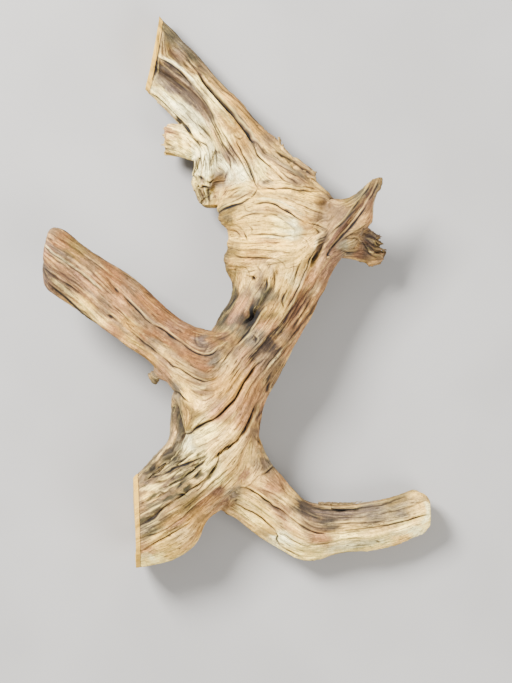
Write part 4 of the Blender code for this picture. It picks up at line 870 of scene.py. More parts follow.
    (0.5, 0.35, [(-44, -224), (-30, -210), (-14, -196), (-4, -186)]),
    (0.5, 0.35, [(-102, -266), (-82, -260), (-62, -248), (-44, -232), (-28, -218)]),
    (0.7, 0.4, [(-100, -279), (-84, -271), (-66, -261), (-48, -250)]),
    (0.35, 0.3, [(-28, -214), (-16, -204), (-6, -194)]),
    (0.35, 0.3, [(-50, -170), (-36, -166), (-22, -158), (-8, -148)]),
    (0.35, 0.3, [(-44, -160), (-28, -152), (-14, -142), (-2, -130)]),
    (0.7, 0.5, [(28, -199), (35, -195), (41, -190)]),
    (0.8, 0.6, [(36, -98), (34, -103), (31.5, -108)]),
    (0.5, 0.4, [(28, -124), (25, -131), (21, -139)]),
    (0.4, 0.35, [(18, -154), (22, -164), (28, -172)]),
    (0.4, 0.35, [(-2, -190), (-6, -194)]),
    # The lower right branch.
    (0.8, 0.6, [(3, -211), (12, -213), (22, -219), (33, -227), (45, -235), (56, -243)]),
    (0.7, 0.5, [(56, -243), (66, -251), (77, -258), (88, -263), (100, -264.5)]),
    (0.45, 0.35, [(100, -264.5), (118, -263), (136, -261)]),
    (0.8, 0.5, [(0, -232), (9, -237), (19, -242), (29, -249), (37, -256), (43, -262)]),
    (0.8, 0.5, [(43, -262), (45, -267), (43, -271), (47, -277)]),
    (0.5, 0.5, [(47, -277), (56, -284), (66, -289), (73, -292)]),
    (0.6, 0.4, [(46, -262), (56, -269), (67, -275), (80, -279)]),
    (0.5, 0.35, [(80, -276), (92, -276), (104, -274), (122, -269), (140, -268)]),
    (0.4, 0.3, [(70, -246), (80, -254), (92, -258), (108, -257)]),
    (0.5, 0.4, [(106, -253), (124, -252), (142, -252), (160, -250)]),
    (0.5, 0.35, [(120, -260), (140, -258), (160, -255), (180, -251)]),
    (0.8, 0.5, [(160, -256), (176, -252), (194, -248), (212, -243)]),
    (0.8, 0.6, [(86, -233), (98, -236), (112, -237.5), (130, -237)]),
    (0.5, 0.4, [(130, -237), (150, -235), (170, -231), (190, -225)]),
    (0.4, 0.35, [(150, -244), (172, -240), (192, -234), (208, -228)]),
    (0.35, 0.3, [(110, -246), (130, -246), (150, -243)]),
    (0.4, 0.4, [(166, -239), (169, -240)]),
    (0.5, 0.4, [(152, -271), (156, -273)]),
    (0.35, 0.3, [(24, -212), (40, -220), (54, -230), (66, -242)]),
    (0.3, 0.3, [(14, -228), (30, -240), (46, -252)]),
]

# Short checks scattered over the wood: how many, in what part of the plan, from how short
# to how long, in steps of how many mm, how dark, half how wide and how far from each other.
CHECKS = 420
CHECK_AREA = ((-215, -310), (165, 305))
CHECK_LENGTHS = (8, 34)
CHECK_STEP = 4
CHECK_DARKNESS = (0.18, 0.55)
CHECK_HALF = 0.28
CHECK_ROOM = 3

# The map of the grain, in mm: its cell, how many cells apart it is worked out, and its edges.
GRAIN_CELL = 3.0
GRAIN_COARSE = 4
GRAIN_EDGE = (-324.0, -420.0, 324.0, 420.0)

# How high the ridges and lumps of the skin are, and how round a limb is taken to be, in mm.
RIDGE_HEIGHT = 0.55
LUMP_HEIGHT = 1.3
WRAP_RADIUS = 32.0

# The lines that guide the fine grain: their cell, and the length and number of their steps.
GUIDE_CELL = 9.0
GUIDE_STEP = 5
GUIDE_STEPS = 22

# The kinds of fibre, from fine to broad: seed, how thick one is and how far it runs, in mm.
FIBRES = {
    "thread": (5, 1.6, 16),
    "strand": (6, 3.2, 34),
    "band": (7, 6.5, 60),
    "broad": (9, 16, 60),
    "gash": (10, 3.4, 13),
}
FIBRE_STEP = 1.5
FIBRE_CORNER = (-340.0, -440.0)
FIBRE_SHEET = (700, 900)

# How the mesh keeps one number, a place or a colour at each of its points.
NOTE_KINDS = {
    1: ("FLOAT", "value"),
    3: ("FLOAT_VECTOR", "vector"),
    4: ("FLOAT_COLOR", "color"),
}

# Rotted and knobbly places: x, y, how far they reach and how rough they are.
ROUGH_SPOTS = [
    (-34, 118, 28, 0.9),
    (-66, -198, 50, 0.9),
    (150, 48, 16, 0.5),
    (-72, 165, 18, 0.6),
]

# Ends too thin or too cleanly broken for lumps: x, y and how far round.
THIN_ENDS = [(156, 121, 30), (-212, 52, 22), (-213, 28, 22), (210, -240, 20)]

# Where the wood has rotted into short gashes and fibres: x, y, how far and how badly.
ROTTEN = [
    (-60, -196, 34, 1.0),
    (-84, -214, 30, 0.8),
    (-96, -238, 22, 0.6),
    (-36, -186, 24, 0.65),
    (-36, 108, 22, 0.5),
    (-70, 165, 16, 0.5),
    (152, 47, 15, 0.5),
    (-52, 160, 18, 0.3),
    (60, -30, 30, 0.2),
]

# Loose splinters on the skin: half width, half thickness, and the points from root to tip.
SPLINTERS = [
    (3.2, 1.3, [(53, 150, 42), (49, 156, 44), (47, 162, 46), (46, 168.5, 47)]),
    (2.4, 1.2, [(56, 148, 41), (52.5, 153, 43), (51, 158, 44), (51, 161, 45)]),
    (1.2, 0.9, [(40, 162, 45), (42, 166, 46), (42.5, 169, 47)]),
    (3.0, 1.4, [(68, 132, 48), (76, 131, 50), (83, 130, 51), (88, 129, 52)]),
    (2.6, 1.3, [(72, 126, 48), (80, 125, 50), (86, 124, 51), (87, 121, 51)]),
    (1.6, 0.9, [(68, 136, 48), (75, 135, 50), (80, 135, 52)]),
    (1.9, 1.4, [(-50, 175, 34), (-62, 186, 32), (-76, 200, 28), (-88, 211, 26), (-97, 219, 24)]),
    (1.5, 1.1, [(90, -231, 34), (106, -231.5, 36), (124, -231, 36), (138, -229.5, 35)]),
    (1.3, 1.2, [(104, -236, 42), (116, -237, 43), (132, -236, 42)]),
    (1.4, 1.2, [(140, 104, 83), (147, 112, 88), (152, 119, 91), (154, 121.5, 92)]),
    (1.0, 1.0, [(150, 110, 84), (155, 117, 88), (158, 120, 90)]),
    (1.0, 0.9, [(142, 108, 84), (146, 115, 88), (147, 120, 90)]),
    (1.6, 1.2, [(148, 56, 48), (156, 54, 46), (161, 52, 44)]),
    (1.8, 1.2, [(148, 48, 50), (158, 46, 46), (164, 45, 43)]),
    (1.6, 1.2, [(148, 40, 46), (156, 38, 43), (161, 37, 41)]),
    (1.4, 1.1, [(146, 62, 44), (153, 62, 42), (156, 60, 40)]),
    (1.5, 1.1, [(146, 34, 40), (154, 32, 38), (157, 31, 36)]),
    (1.8, 1.4, [(-66, 176, 40), (-74, 178, 40), (-80, 178, 39)]),
    (1.6, 1.3, [(-68, 170, 44), (-76, 171, 43), (-81, 171, 42)]),
    (1.8, 1.4, [(-68, 160, 44), (-76, 160, 43), (-82, 160, 41)]),
    (1.6, 1.3, [(-66, 154, 38), (-74, 153, 38), (-79, 152, 37)]),
    (1.7, 1.5, [(-40, 146, 56), (-44, 136, 52), (-47, 126, 46)]),
    (1.5, 1.4, [(-32, 150, 60), (-35, 138, 58), (-38, 126, 52)]),
    (1.4, 1.3, [(-24, 152, 62), (-27, 138, 61), (-29, 124, 54)]),
    (1.6, 1.4, [(-38, 122, 48), (-42, 116, 44), (-46, 112, 40)]),
    (1.6, 1.3, [(-28, 116, 50), (-36, 114, 46), (-42, 113, 42)]),
    (1.4, 1.2, [(-30, 106, 46), (-37, 101, 42), (-40, 97, 38)]),
    (1.1, 0.9, [(-8, -168, 92), (-12, -171, 92), (-16, -176, 91)]),
    (1.6, 1.2, [(-58, -182, 90), (-70, -190, 84), (-84, -200, 76)]),
    (1.5, 1.2, [(-44, -190, 92), (-56, -199, 86), (-70, -210, 80)]),
    (1.4, 1.1, [(-60, -206, 86), (-72, -214, 80), (-86, -224, 74)]),
    (1.4, 1.1, [(-76, -186, 78), (-88, -196, 72), (-98, -206, 66)]),
]


def curve_through(rows, step):
    """The rows' values along a smooth curve through them, about one step apart."""
    rows = np.array(rows, float)
    middles = (rows[:, 0:2] + rows[:, 2:4]) / 2
    padded = np.vstack([2 * rows[0] - rows[1], rows, 2 * rows[-1] - rows[-2]])
    found = []
    for i in range(len(rows) - 1):
        a, b, c, d = padded[i : i + 4]
        length = np.linalg.norm(middles[i + 1] - middles[i])
        for t in np.arange(0, 1, step / max(length, step)):
            found.append(
                b
                + 0.5 * t * (c - a)
                + t * t * (a - 2.5 * b + 2 * c - 0.5 * d)
                + t**3 * (1.5 * (b - c) + 0.5 * (d - a))
            )
    found.append(rows[-1])
    return np.array(found)


def close_tube(bm, rings, turned=False):
    """Faces round a row of rings and over its ends. Turned rings run the other way round."""
    corners = len(rings[0])
    for first, second in zip(rings, rings[1:]):
        for k in range(corners):
            n = (k + 1) % corners
            side = (first[k], first[n], second[n], second[k])
            bm.faces.new(side[:1] + side[:0:-1] if turned else side)
    bm.faces.new(rings[0] if turned else rings[0][::-1])
    bm.faces.new(rings[-1][::-1] if turned else rings[-1])


def oval(bm, middle, side, width, thick, corners, turn=0.0):
    """A ring of corners round the middle, this wide to each side and this thick up and down."""
    ring = []
    for k in range(corners):
        angle = k * np.pi * 2 / corners + turn
        edge = side * (width * np.cos(angle))
        edge += Vector((0, 0, thick * np.sin(angle)))
        ring.append(bm.verts.new((middle + edge) * MM))
    return ring


def flute(angle, along, limb, count, depth, twist):
    """How far the wood stands out here: rounded ridges with sharp valleys between them."""
    turned = angle + np.radians(twist) * along
    down = along / FLUTE_LENGTH + 7.3 * limb
    at = Vector((count * np.cos(turned), count * np.sin(turned), down))
    return depth * (2.2 * abs(noise.noise(at)) - 0.6)


def add_limb(bm, limb, ribs, flutes, depth, twist):
    """One closed fluted tube through the ribs."""
    ribs = curve_through(ribs, RING_STEP)
    along = 0.0
    rings = []
    for i, (lx, ly, rx, ry, height, thick) in enumerate(ribs):
        if i:
            moved = (ribs[i, 0:4] - ribs[i - 1, 0:4]).reshape(2, 2).mean(axis=0)
            along += float(np.hypot(*moved))
        middle = np.array([(lx + rx) / 2, (ly + ry) / 2, height])
        side = np.array([(rx - lx) / 2, (ry - ly) / 2, 0.0])
        half = np.linalg.norm(side)
        side = side / half
        deep = min(depth, FLUTE_SHARE * min(half, thick))
        ring = []
        for k in range(RING_POINTS):
            angle = 2 * np.pi * k / RING_POINTS
            out = flute(angle, along, limb, flutes, deep, twist)
            point = middle + side * (half + out) * np.cos(angle)
            point[2] += (thick + out) * np.sin(angle)
            ring.append(bm.verts.new(point * MM))
        rings.append(ring)
    close_tube(bm, rings)


def add_splinters(bm, number, at, way, reach, rise, count, thick, length):
    """Tapered slivers that stand out of a broken end."""
    chance = np.random.default_rng(40 + number)
    way = Vector(way).normalized()
    side = way.cross(Vector((0, 0, 1))).normalized()
    for _ in range(count):
        apart = chance.uniform(-1, 1, 2)
        foot = Vector(at) + side * (reach * apart[0]) + Vector((0, 0, rise * apart[1]))
        tip = way * (length * chance.uniform(0.4, 1.0)) + side * chance.uniform(-2, 2)
        width = thick * chance.uniform(0.6, 1.0)
        rings = []
        for share, size in SPLINTER_TAPER:
            low = 0.6 * width * size
            rings.append(oval(bm, foot + tip * share, side, width * size, low, 6, apart[0]))
        close_tube(bm, rings)


def object_of(name, bm):
    """A new object that holds this mesh."""
    mesh = bpy.data.meshes.new(name)
    bm.to_mesh(mesh)
    bm.free()
    made = bpy.data.objects.new(name, mesh)
    bpy.context.scene.collection.objects.link(made)
    return made


def finish_with(obj, kind, **settings):
    """Adds one modifier with these settings and applies it."""
    modifier = obj.modifiers.new(kind.lower(), kind)
    for key, value in settings.items():
        setattr(modifier, key, value)
    bpy.context.view_layer.objects.active = obj
    bpy.ops.object.modifier_apply(modifier=modifier.name)


def line_samples(points, step):
    """Points along a line and the way that it runs at each."""
    points = np.array(points, float)
    at = []
    way = []
    for a, b in zip(points, points[1:]):
        length = np.linalg.norm(b - a)
        count = max(int(length / step), 1)
        for i in range(count):
            at.append(a + (b - a) * (i + 0.5) / count)
            way.append((b - a) / length)
    return np.array(at), np.array(way)


def grain_map():
    """The way that the grain runs on a grid in plan: twice its angle, as cosine and sine."""
    left, low, right, high = GRAIN_EDGE
    xs = np.arange(left, right + 1, GRAIN_COARSE * GRAIN_CELL)
    ys = np.arange(low, high + 1, GRAIN_COARSE * GRAIN_CELL)
    grid = np.stack(np.meshgrid(xs, ys, indexing="ij"), axis=-1)
    total = np.zeros(grid.shape)
    long_cracks = [line for _, _, line in CRACKS if np.ptp(np.array(line), axis=0).max() > 18]
    for line in [line for _, _, line in FURROWS] + GRAIN + long_cracks:
        at, way = line_samples(line, 5.0)
        turned = np.stack([way[:, 0] ** 2 - way[:, 1] ** 2, 2 * way[:, 0] * way[:, 1]], axis=-1)
        gap = ((grid[:, :, None, :] - at) ** 2).sum(axis=-1) + 60.0
        total += (turned / gap[..., None] ** 1.8).sum(axis=2)
    fine = resample(total, GRAIN_COARSE)
    return fine / (np.linalg.norm(fine, axis=-1, keepdims=True) + 1e-30)


def resample(grid, times):
    """The grid made finer by straight interpolation."""
    for axis in (0, 1):
        count = grid.shape[axis]
        at = np.arange((count - 1) * times + 1) / times
        first = np.minimum(at.astype(int), count - 2)
        share = at - first
        shape = [1] * grid.ndim
        shape[axis] = len(at)
        share = share.reshape(shape)
        grid = np.take(grid, first, axis) * (1 - share) + np.take(grid, first + 1, axis) * share
    return grid


def cell_of(grid, at, corner, cell):
    """The cell that each place falls in, and how far through it the place lies."""
    x = np.clip((at[..., 0] - corner[0]) / cell, 0, grid.shape[0] - 1.001)
    y = np.clip((at[..., 1] - corner[1]) / cell, 0, grid.shape[1] - 1.001)
    i = x.astype(int)
    j = y.astype(int)
    return i, j, x - i, y - j


def look_up(grid, at):
    """The value of a grid laid over the grain's map, at each of these places in plan."""
    i, j, u, v = cell_of(grid, at, GRAIN_EDGE, GRAIN_CELL)
    if grid.ndim == 3:
        u = u[..., None]
        v = v[..., None]
    return (
        grid[i, j] * (1 - u) * (1 - v)
        + grid[i + 1, j] * u * (1 - v)
        + grid[i, j + 1] * (1 - u) * v
        + grid[i + 1, j + 1] * u * v
    )


def soft_value(grid, cell, at):
    """The value of a fibre grid at each place, with soft steps from cell to cell."""
    i, j, u, v = cell_of(grid, at, FIBRE_CORNER, cell)
    u = u * u * (3 - 2 * u)
    v = v * v * (3 - 2 * v)
    low = grid[i, j] * (1 - u) + grid[i + 1, j] * u
    high = grid[i, j + 1] * (1 - u) + grid[i + 1, j + 1] * u
    return low * (1 - v) + high * v


def grain_way(directions, at, sign, before):
    """The way that the grain runs at each place, turned to carry on from the way before."""
    turned = look_up(directions, at)
    half = np.arctan2(turned[..., 1], turned[..., 0]) / 2
    way = sign * np.stack([np.cos(half), np.sin(half)], axis=-1)
    if before is not None:
        way = way * np.where((way * before).sum(axis=-1, keepdims=True) < 0, -1, 1)
    return way


def combed(directions, seed, softness, reach):
    """Noise drawn out along the grain, so that it lies in long ridges."""
    chance = np.random.default_rng(seed)
    rough = chance.normal(size=directions.shape[:2])
    for _ in range(softness):
        for axis in (0, 1):
            rough = (rough + np.roll(rough, 1, axis) + np.roll(rough, -1, axis)) / 3
    left, low, _, _ = GRAIN_EDGE
    xs = left + GRAIN_CELL * np.arange(directions.shape[0])
    ys = low + GRAIN_CELL * np.arange(directions.shape[1])
    start = np.stack(np.meshgrid(xs, ys, indexing="ij"), axis=-1)
    total = rough.copy()
    for sign in (1, -1):
        at = start
        way = None
        for _ in range(int(reach / GRAIN_CELL)):
            way = grain_way(directions, at, sign, way)
            at = at + way * GRAIN_CELL
            total += look_up(rough, at)
    return (total - total.mean()) / total.std()


def fibres(directions, plan):
    """Noise drawn out along the grain under each point, once for each kind of fibre."""
    grids = []
    sums = []
    wide, high = FIBRE_SHEET
    for seed, cell, _ in FIBRES.values():
        chance = np.random.default_rng(seed)
        grids.append(chance.normal(size=(int(wide / cell), int(high / cell))))
        sums.append(np.zeros(len(plan)))
    longest = max(reach for _, _, reach in FIBRES.values())
    for sign in (1, -1):
        at = plan
        way = None
        for k in range(int(longest / FIBRE_STEP)):
            for (_, cell, reach), grid, total in zip(FIBRES.values(), grids, sums):
                if k * FIBRE_STEP < reach:
                    share = 1 - k * FIBRE_STEP / reach
                    total += share * soft_value(grid, cell, at)
            way = grain_way(directions, at, sign, way)
            at = at + way * FIBRE_STEP
    return [(total - total.mean()) / total.std() for total in sums]


def beside(points, line):
    """Where each point lies beside the line in plan.

    How far off it is, how near to the line's ends, how long the line is, on which side
    of it the point is, and how far along it.
    """
    line = np.array(line, float)
    nearest = np.full(len(points), FAR)
    along = np.zeros(len(points))
    side = np.ones(len(points))
    walked = 0.0
    for a, b in zip(line, line[1:]):
        way = b - a
        length = np.linalg.norm(way)
        off = points - a
        share = np.clip(off @ way / length**2, 0, 1)
        gap = np.linalg.norm(off - share[:, None] * way, axis=1)
        closer = gap < nearest
        nearest[closer] = gap[closer]
        along[closer] = walked + share[closer] * length
        side[closer] = np.where(way[0] * off[closer, 1] > way[1] * off[closer, 0], 1, -1)
        walked += length
    return nearest, np.minimum(along, walked - along), walked, side, along


def close_to(points, line, reach):
    """The numbers of the points that lie in a box this far round the line."""
    low = line.min(axis=0) - reach
    high = line.max(axis=0) + reach
    return np.nonzero(((points > low) & (points < high)).all(axis=1))[0]


def wrapped(points, normals):
    """Where each point falls in plan when the skin is unrolled from the top downwards."""
    angle = np.arccos(np.clip(normals[:, 2], -1, 1))
    flat = normals[:, :2] / (np.linalg.norm(normals[:, :2], axis=1, keepdims=True) + 1e-9)
    return points[:, :2] + flat * (WRAP_RADIUS * (angle - np.sin(angle)))[:, None]


def grown_wood():
    """All limbs grown into one skin."""
    bm = bmesh.new()
    for number, limb in enumerate(LIMBS):
        add_limb(bm, number, *limb)
    for number, end in enumerate(BROKEN_ENDS):
        add_splinters(bm, number, *end)
    bmesh.ops.recalc_face_normals(bm, faces=bm.faces)
    made = object_of("weathered_driftwood", bm)
    finish_with(made, "REMESH", mode="VOXEL", voxel_size=VOXEL * MM)
    finish_with(made, "SMOOTH", factor=0.5, iterations=SMOOTHING_PASSES)
    add_loose_splinters(made)
    return made


def add_loose_splinters(wood):
    """Thin tapered slivers rooted in the skin, too fine for the grown skin to hold."""
    bm = bmesh.new()
    bm.from_mesh(wood.data)
    loose = bm.verts.layers.float.new("loose")
    chance = np.random.default_rng(5)
    for width, thick, points in SPLINTERS:
        rows = curve_through([(x, y, x, y, z, 0) for x, y, z in points], 2.0)
        rings = []
        for i, row in enumerate(rows):
            before = rows[max(i - 1, 0)]
            after = rows[min(i + 1, len(rows) - 1)]
            way = Vector((after[0] - before[0], after[1] - before[1], 0)).normalized()
            side = Vector((-way.y, way.x, 0))
            share = i / (len(rows) - 1)
            size = (1 - 0.75 * share**2) * chance.uniform(0.8, 1.15)
            shift = chance.uniform(-0.35, 0.35) * width
            middle = Vector((row[0], row[1], row[4])) + side * shift
            rings.append(oval(bm, middle, side, width * size, thick * size, 8))
            for corner in rings[-1]:
                corner[loose] = 1.0
        close_tube(bm, rings, turned=True)
    bm.to_mesh(wood.data)
    bm.free()


def skin_of(mesh):
    """The places of the mesh's points, in mm, and the ways that they face."""
    points = np.empty(len(mesh.vertices) * 3, np.float32)
    mesh.vertices.foreach_get("co", points)
    normals = np.empty(len(mesh.vertices) * 3, np.float32)
    mesh.vertices.foreach_get("normal", normals)
    return points.reshape(-1, 3).astype(float) / MM, normals.reshape(-1, 3).astype(float)


def put_points(mesh, points):
    """Moves the mesh's points to these places, in mm."""
    mesh.vertices.foreach_set("co", (points * MM).astype(np.float32).ravel())
    mesh.update()


def note(mesh, name, values):
    """Numbers, places or colours at each point of the mesh, for the material to read."""
    kind, field = NOTE_KINDS[values.reshape(len(values), -1).shape[1]]
    layer = mesh.attributes.new(name, kind, "POINT")
    layer.data.foreach_set(field, values.astype(np.float32).ravel())


def drawn(line, wander, seed):
    """A line made smooth and then unsteady, as a crack runs."""
    rows = [(x, y, x, y, 0, 0) for x, y in line]
    points = curve_through(rows, 3.0)[:, :2]
    for i in range(1, len(points) - 1):
        x, y = points[i]
        points[i, 0] += wander * noise.noise(Vector((x / 9, y / 9, seed)))
        points[i, 1] += wander * noise.noise(Vector((x / 9, y / 9, seed + 50)))
    return points


def grown_checks(directions):
    """Short checks that start anywhere on the wood and follow the grain."""
    chance = np.random.default_rng(21)
    found = []
    for _ in range(CHECKS):
        at = chance.uniform(*CHECK_AREA)
        way = None
        line = [at]
        for _ in range(int(chance.uniform(*CHECK_LENGTHS) / CHECK_STEP)):
            way = grain_way(directions, at, 1, way)
            at = at + way * CHECK_STEP
            line.append(at)
        found.append(np.array(line))
    return found


def guide_lines(directions, plan, seed):
    """Lines along the grain that cover the unrolled skin, about two cells apart."""
    covered = {tuple(c) for c in np.unique(np.floor(plan / GUIDE_CELL).astype(int), axis=0)}
    starts = sorted(covered)
    np.random.default_rng(seed).shuffle(starts)
    taken = set()
    found = []
    for start in starts:
        if tuple(start) in taken:
            continue
        halves = []
        for sign in (1, -1):
            at = (np.array(start, float) + 0.5) * GUIDE_CELL
            way = None
            half = [at]
            for _ in range(GUIDE_STEPS):
                way = grain_way(directions, at, sign, way)
                at = at + way * GUIDE_STEP
                square = tuple(np.floor(at / GUIDE_CELL).astype(int))
                if square in taken or square not in covered:
                    break
                half.append(at)
            halves.append(half)
        line = np.array(halves[1][:0:-1] + halves[0])
        if len(line) < 3:
            continue
        found.append(line)
        for x, y in np.floor(line / GUIDE_CELL).astype(int):
            taken.update((x + i, y + j) for i in (-1, 0, 1) for j in (-1, 0, 1))
    return found


def grain_places(directions, plan, seed):
    """How far along and across the grain each point is, and how surely that holds."""
    first = np.full(len(plan), 60.0)
    second = first.copy()
    found = np.zeros((len(plan), 3))
    ends = np.zeros(len(plan))
    for number, line in enumerate(guide_lines(directions, plan, seed)):
        near = close_to(plan, line, 22)
        if not len(near):
            continue
        gap, end, _, side, along = beside(plan[near], line)
        closer = gap < first[near]
        second[near] = np.where(closer, first[near], np.minimum(second[near], gap))
        chosen = near[closer]
        first[chosen] = gap[closer]
        ends[chosen] = end[closer]
        found[chosen, 0] = along[closer] + 211.0 * number
        found[chosen, 1] = (side * gap)[closer] + 57.0 * number
    found[:, 2] = np.clip((second - first - 3) / 8, 0, 1) * np.clip(ends / 8, 0, 1)
    return found


def all_cracks(directions):
    """Every crack, drawn: whether it lies in plan, its line, darkness and half width.

    They come as two sets, so that near neighbours are in different ones.
    """
    chance = np.random.default_rng(77)
    cracks = []
    for number, (dark, half, line) in enumerate(CRACKS):
        cracks.append((True, drawn(line, 0.9, 80 + number), dark, half))
    for line in grown_checks(directions):
        cracks.append((False, line, chance.uniform(*CHECK_DARKNESS), CHECK_HALF))
    sets = ([], [])
    taken = [np.full((1, 2), FAR), np.full((1, 2), FAR)]
    for crack in cracks:
        flat, line = crack[:2]
        inner = line[1:-1] if len(line) > 3 else line
        room = [np.linalg.norm(inner[:, None] - other, axis=2).min() for other in taken]
        chosen = 0 if room[0] >= room[1] else 1
        if not flat and room[chosen] < CHECK_ROOM:
            continue
        sets[chosen].append(crack)
        taken[chosen] = np.vstack([taken[chosen], line])
    return sets


def crack_field(plan, tops, cracks):
    """At each point: signed distance to a crack, how dark and half how wide it is, its depth."""
    signed = np.full(len(plan), CRACK_REACH)
    hold = np.zeros(len(plan))
    wide = np.full(len(plan), 0.3)
    depth = np.zeros(len(plan))
    reach = np.full(len(plan), FAR)
    for number, (flat, line, dark, half) in enumerate(cracks):
        where = tops if flat else plan
        near = close_to(where, line, CRACK_REACH)
        if not len(near):
            continue
        gap, end, length, side, along = beside(where[near], line)
        taper = np.clip((end + 0.5) / min(12.0, length / 2), 0, 1)
        wave = np.sin(along / 6.3 + number) + np.sin(along / 2.7 + 2.3 * number)
        strength = dark * np.clip(0.95 + 0.10 * wave, 0.6, 1.1) * np.sqrt(taper)
        half = half * (0.4 + 0.6 * taper) * np.clip(1.0 + 0.14 * wave, 0.6, 1.3)
        claim = gap - 3 * half - 2.5 * dark
        closer = claim < reach[near]
        chosen = near[closer]
        reach[chosen] = claim[closer]
        signed[chosen] = (side * gap)[closer]
        hold[chosen] = strength[closer]
        wide[chosen] = half[closer]
        groove = strength * (0.35 + 1.1 * half) * np.clip(1 - gap / (1.5 + half), 0, 1)
        lip = 0.22 * strength * np.clip(1 - np.abs(gap - half - 2.4) / 1.6, 0, 1)
        depth[near] = np.where(groove > depth[near], groove, depth[near] - lip)
    return signed, hold, wide, depth


def eye_scale(colour):
    """Shares of light on the scale that the eye judges by, on which colours are mixed here."""
    return np.array(colour) ** (1 / EYE_GAMMA)


def patches(at, softness):
    """The colour of the tones round each place, run into each other over this many mm."""
    total = np.zeros((len(at), 3))
    weight = np.zeros(len(at))
    for x, y, name in TONES:
        near = 1 / (((at - (x, y)) ** 2).sum(axis=1) + softness**2) ** 2
        total += near[:, None] * eye_scale(PALETTE[name])
        weight += near
    return total / weight[:, None]


def stained(tops, facing_up, strand, band, broad):
    """The wood's colour: soft patches, and stains along lines over them.

    Sides too steep for the camera have broad greyer patches only.
    """
    at = tops + np.stack([2.2 * strand + 2.5 * broad, 2.2 * band - 2.5 * broad], axis=1)
    colour = patches(at, TONE_SOFTNESS)
    for name, strength, reach, line in STAINS:
        line = drawn(line, 1.5, reach)
        near = close_to(tops, line, 2.2 * reach)
        gap, end, length = beside(tops[near], line)[:3]
        edge = reach * (1.15 + 0.14 * strand[near] + 0.10 * band[near]) - gap
        edge = np.clip(edge / (0.55 * reach + 0.4), 0, 1)
        share = (strength * edge * np.clip((end + 3) / min(9, 1 + length / 3), 0, 1))[:, None]
        colour[near] = colour[near] * (1 - share) + share * eye_scale(PALETTE[name])
    steep = np.clip((0.22 - facing_up) / 0.40 + 0.12 * band, 0, 1)[:, None]
    worn = patches(at + 6 * np.stack([broad, -broad], axis=1), STEEP_SOFTNESS)
    grey = np.clip(0.18 + 0.16 * broad, 0, 0.6)[:, None]
    worn = worn * (1 - grey) + grey * eye_scale(PALETTE["grey"])
    return colour * (1 - steep) + worn * steep


def cut_furrows(out, tops, normals):
    """Cuts the furrows into the skin, and tells how deep in one each point lies, for the shade
    painted there.
    """
    upward = np.clip(normals[:, 2] * 2.5 + 0.2, 0, 1)
    shaded_hollow = np.zeros(len(tops))
    for width, depth, line in FURROWS:
        gap, end, length = beside(tops, line)[:3]
        taper = np.clip((end + 2) / min(10, length / 2 + 2), 0, 1)
        cut = np.clip(1 - gap / (width * (0.5 + 0.5 * taper)), 0, 1) ** 1.4
        if width < NARROW_FURROW:
            depth *= 0.45
        out -= depth * cut * taper * upward
        shaded_hollow = np.maximum(shaded_hollow, min(depth / 5, 1.2) * cut * taper * upward)
    return shaded_hollow


def roughen(out, points):
    """Raises lumps where the wood is rotted or knobbly."""
    for x, y, reach, rough in ROUGH_SPOTS:
        near = np.clip(1.4 * (1 - np.hypot(points[:, 0] - x, points[:, 1] - y) / reach), 0, 1)
        for i in np.nonzero(near > 0)[0]:
            at = Vector(points[i] / 9.0)
            coarse = abs(noise.noise(at)) * 2 - 0.5
            fine = abs(noise.noise(at * 2.7)) * 2 - 0.5
            out[i] += near[i] * rough * (2.0 * coarse + 0.9 * fine)


def rot_at(tops):
    """How badly the wood has rotted at each point."""
    rotten = np.zeros(len(tops))
    for x, y, reach, share in ROTTEN:
        gap = np.hypot(tops[:, 0] - x, tops[:, 1] - y) / reach
        rotten = np.maximum(rotten, share * np.clip(2.2 * (1 - gap), 0, 1))
    return rotten


def lower_to_floor(points, normals):
    """Lowers the underside of each resting spot, so that the floor will cut it flat."""
    for x, y, reach in REST_SPOTS:
        near = np.hypot(points[:, 0] - x, points[:, 1] - y)
        below = normals[:, 2] < -0.3
        low = points[(near < 0.55 * reach) & below, 2].min()
        share = np.clip(1 - (near / reach) ** 2, 0, 1) ** 2
        points[:, 2] -= share * np.clip(-normals[:, 2], 0, 1) * (low + REST_CUT)


def saw_rim(points):
    """How far behind the nearest saw cut each point lies, in mm."""
    inside = [np.full(len(points), RIM_FAR)]
    for at, way in SAW_CUTS:
        way = np.array(way) / np.linalg.norm(way)
        gap = (points - at) @ -way
        inside.append(np.where(np.linalg.norm(points - at, axis=1) < 120, gap, RIM_FAR))
    return np.clip(np.min(inside, axis=0), -5, RIM_FAR)


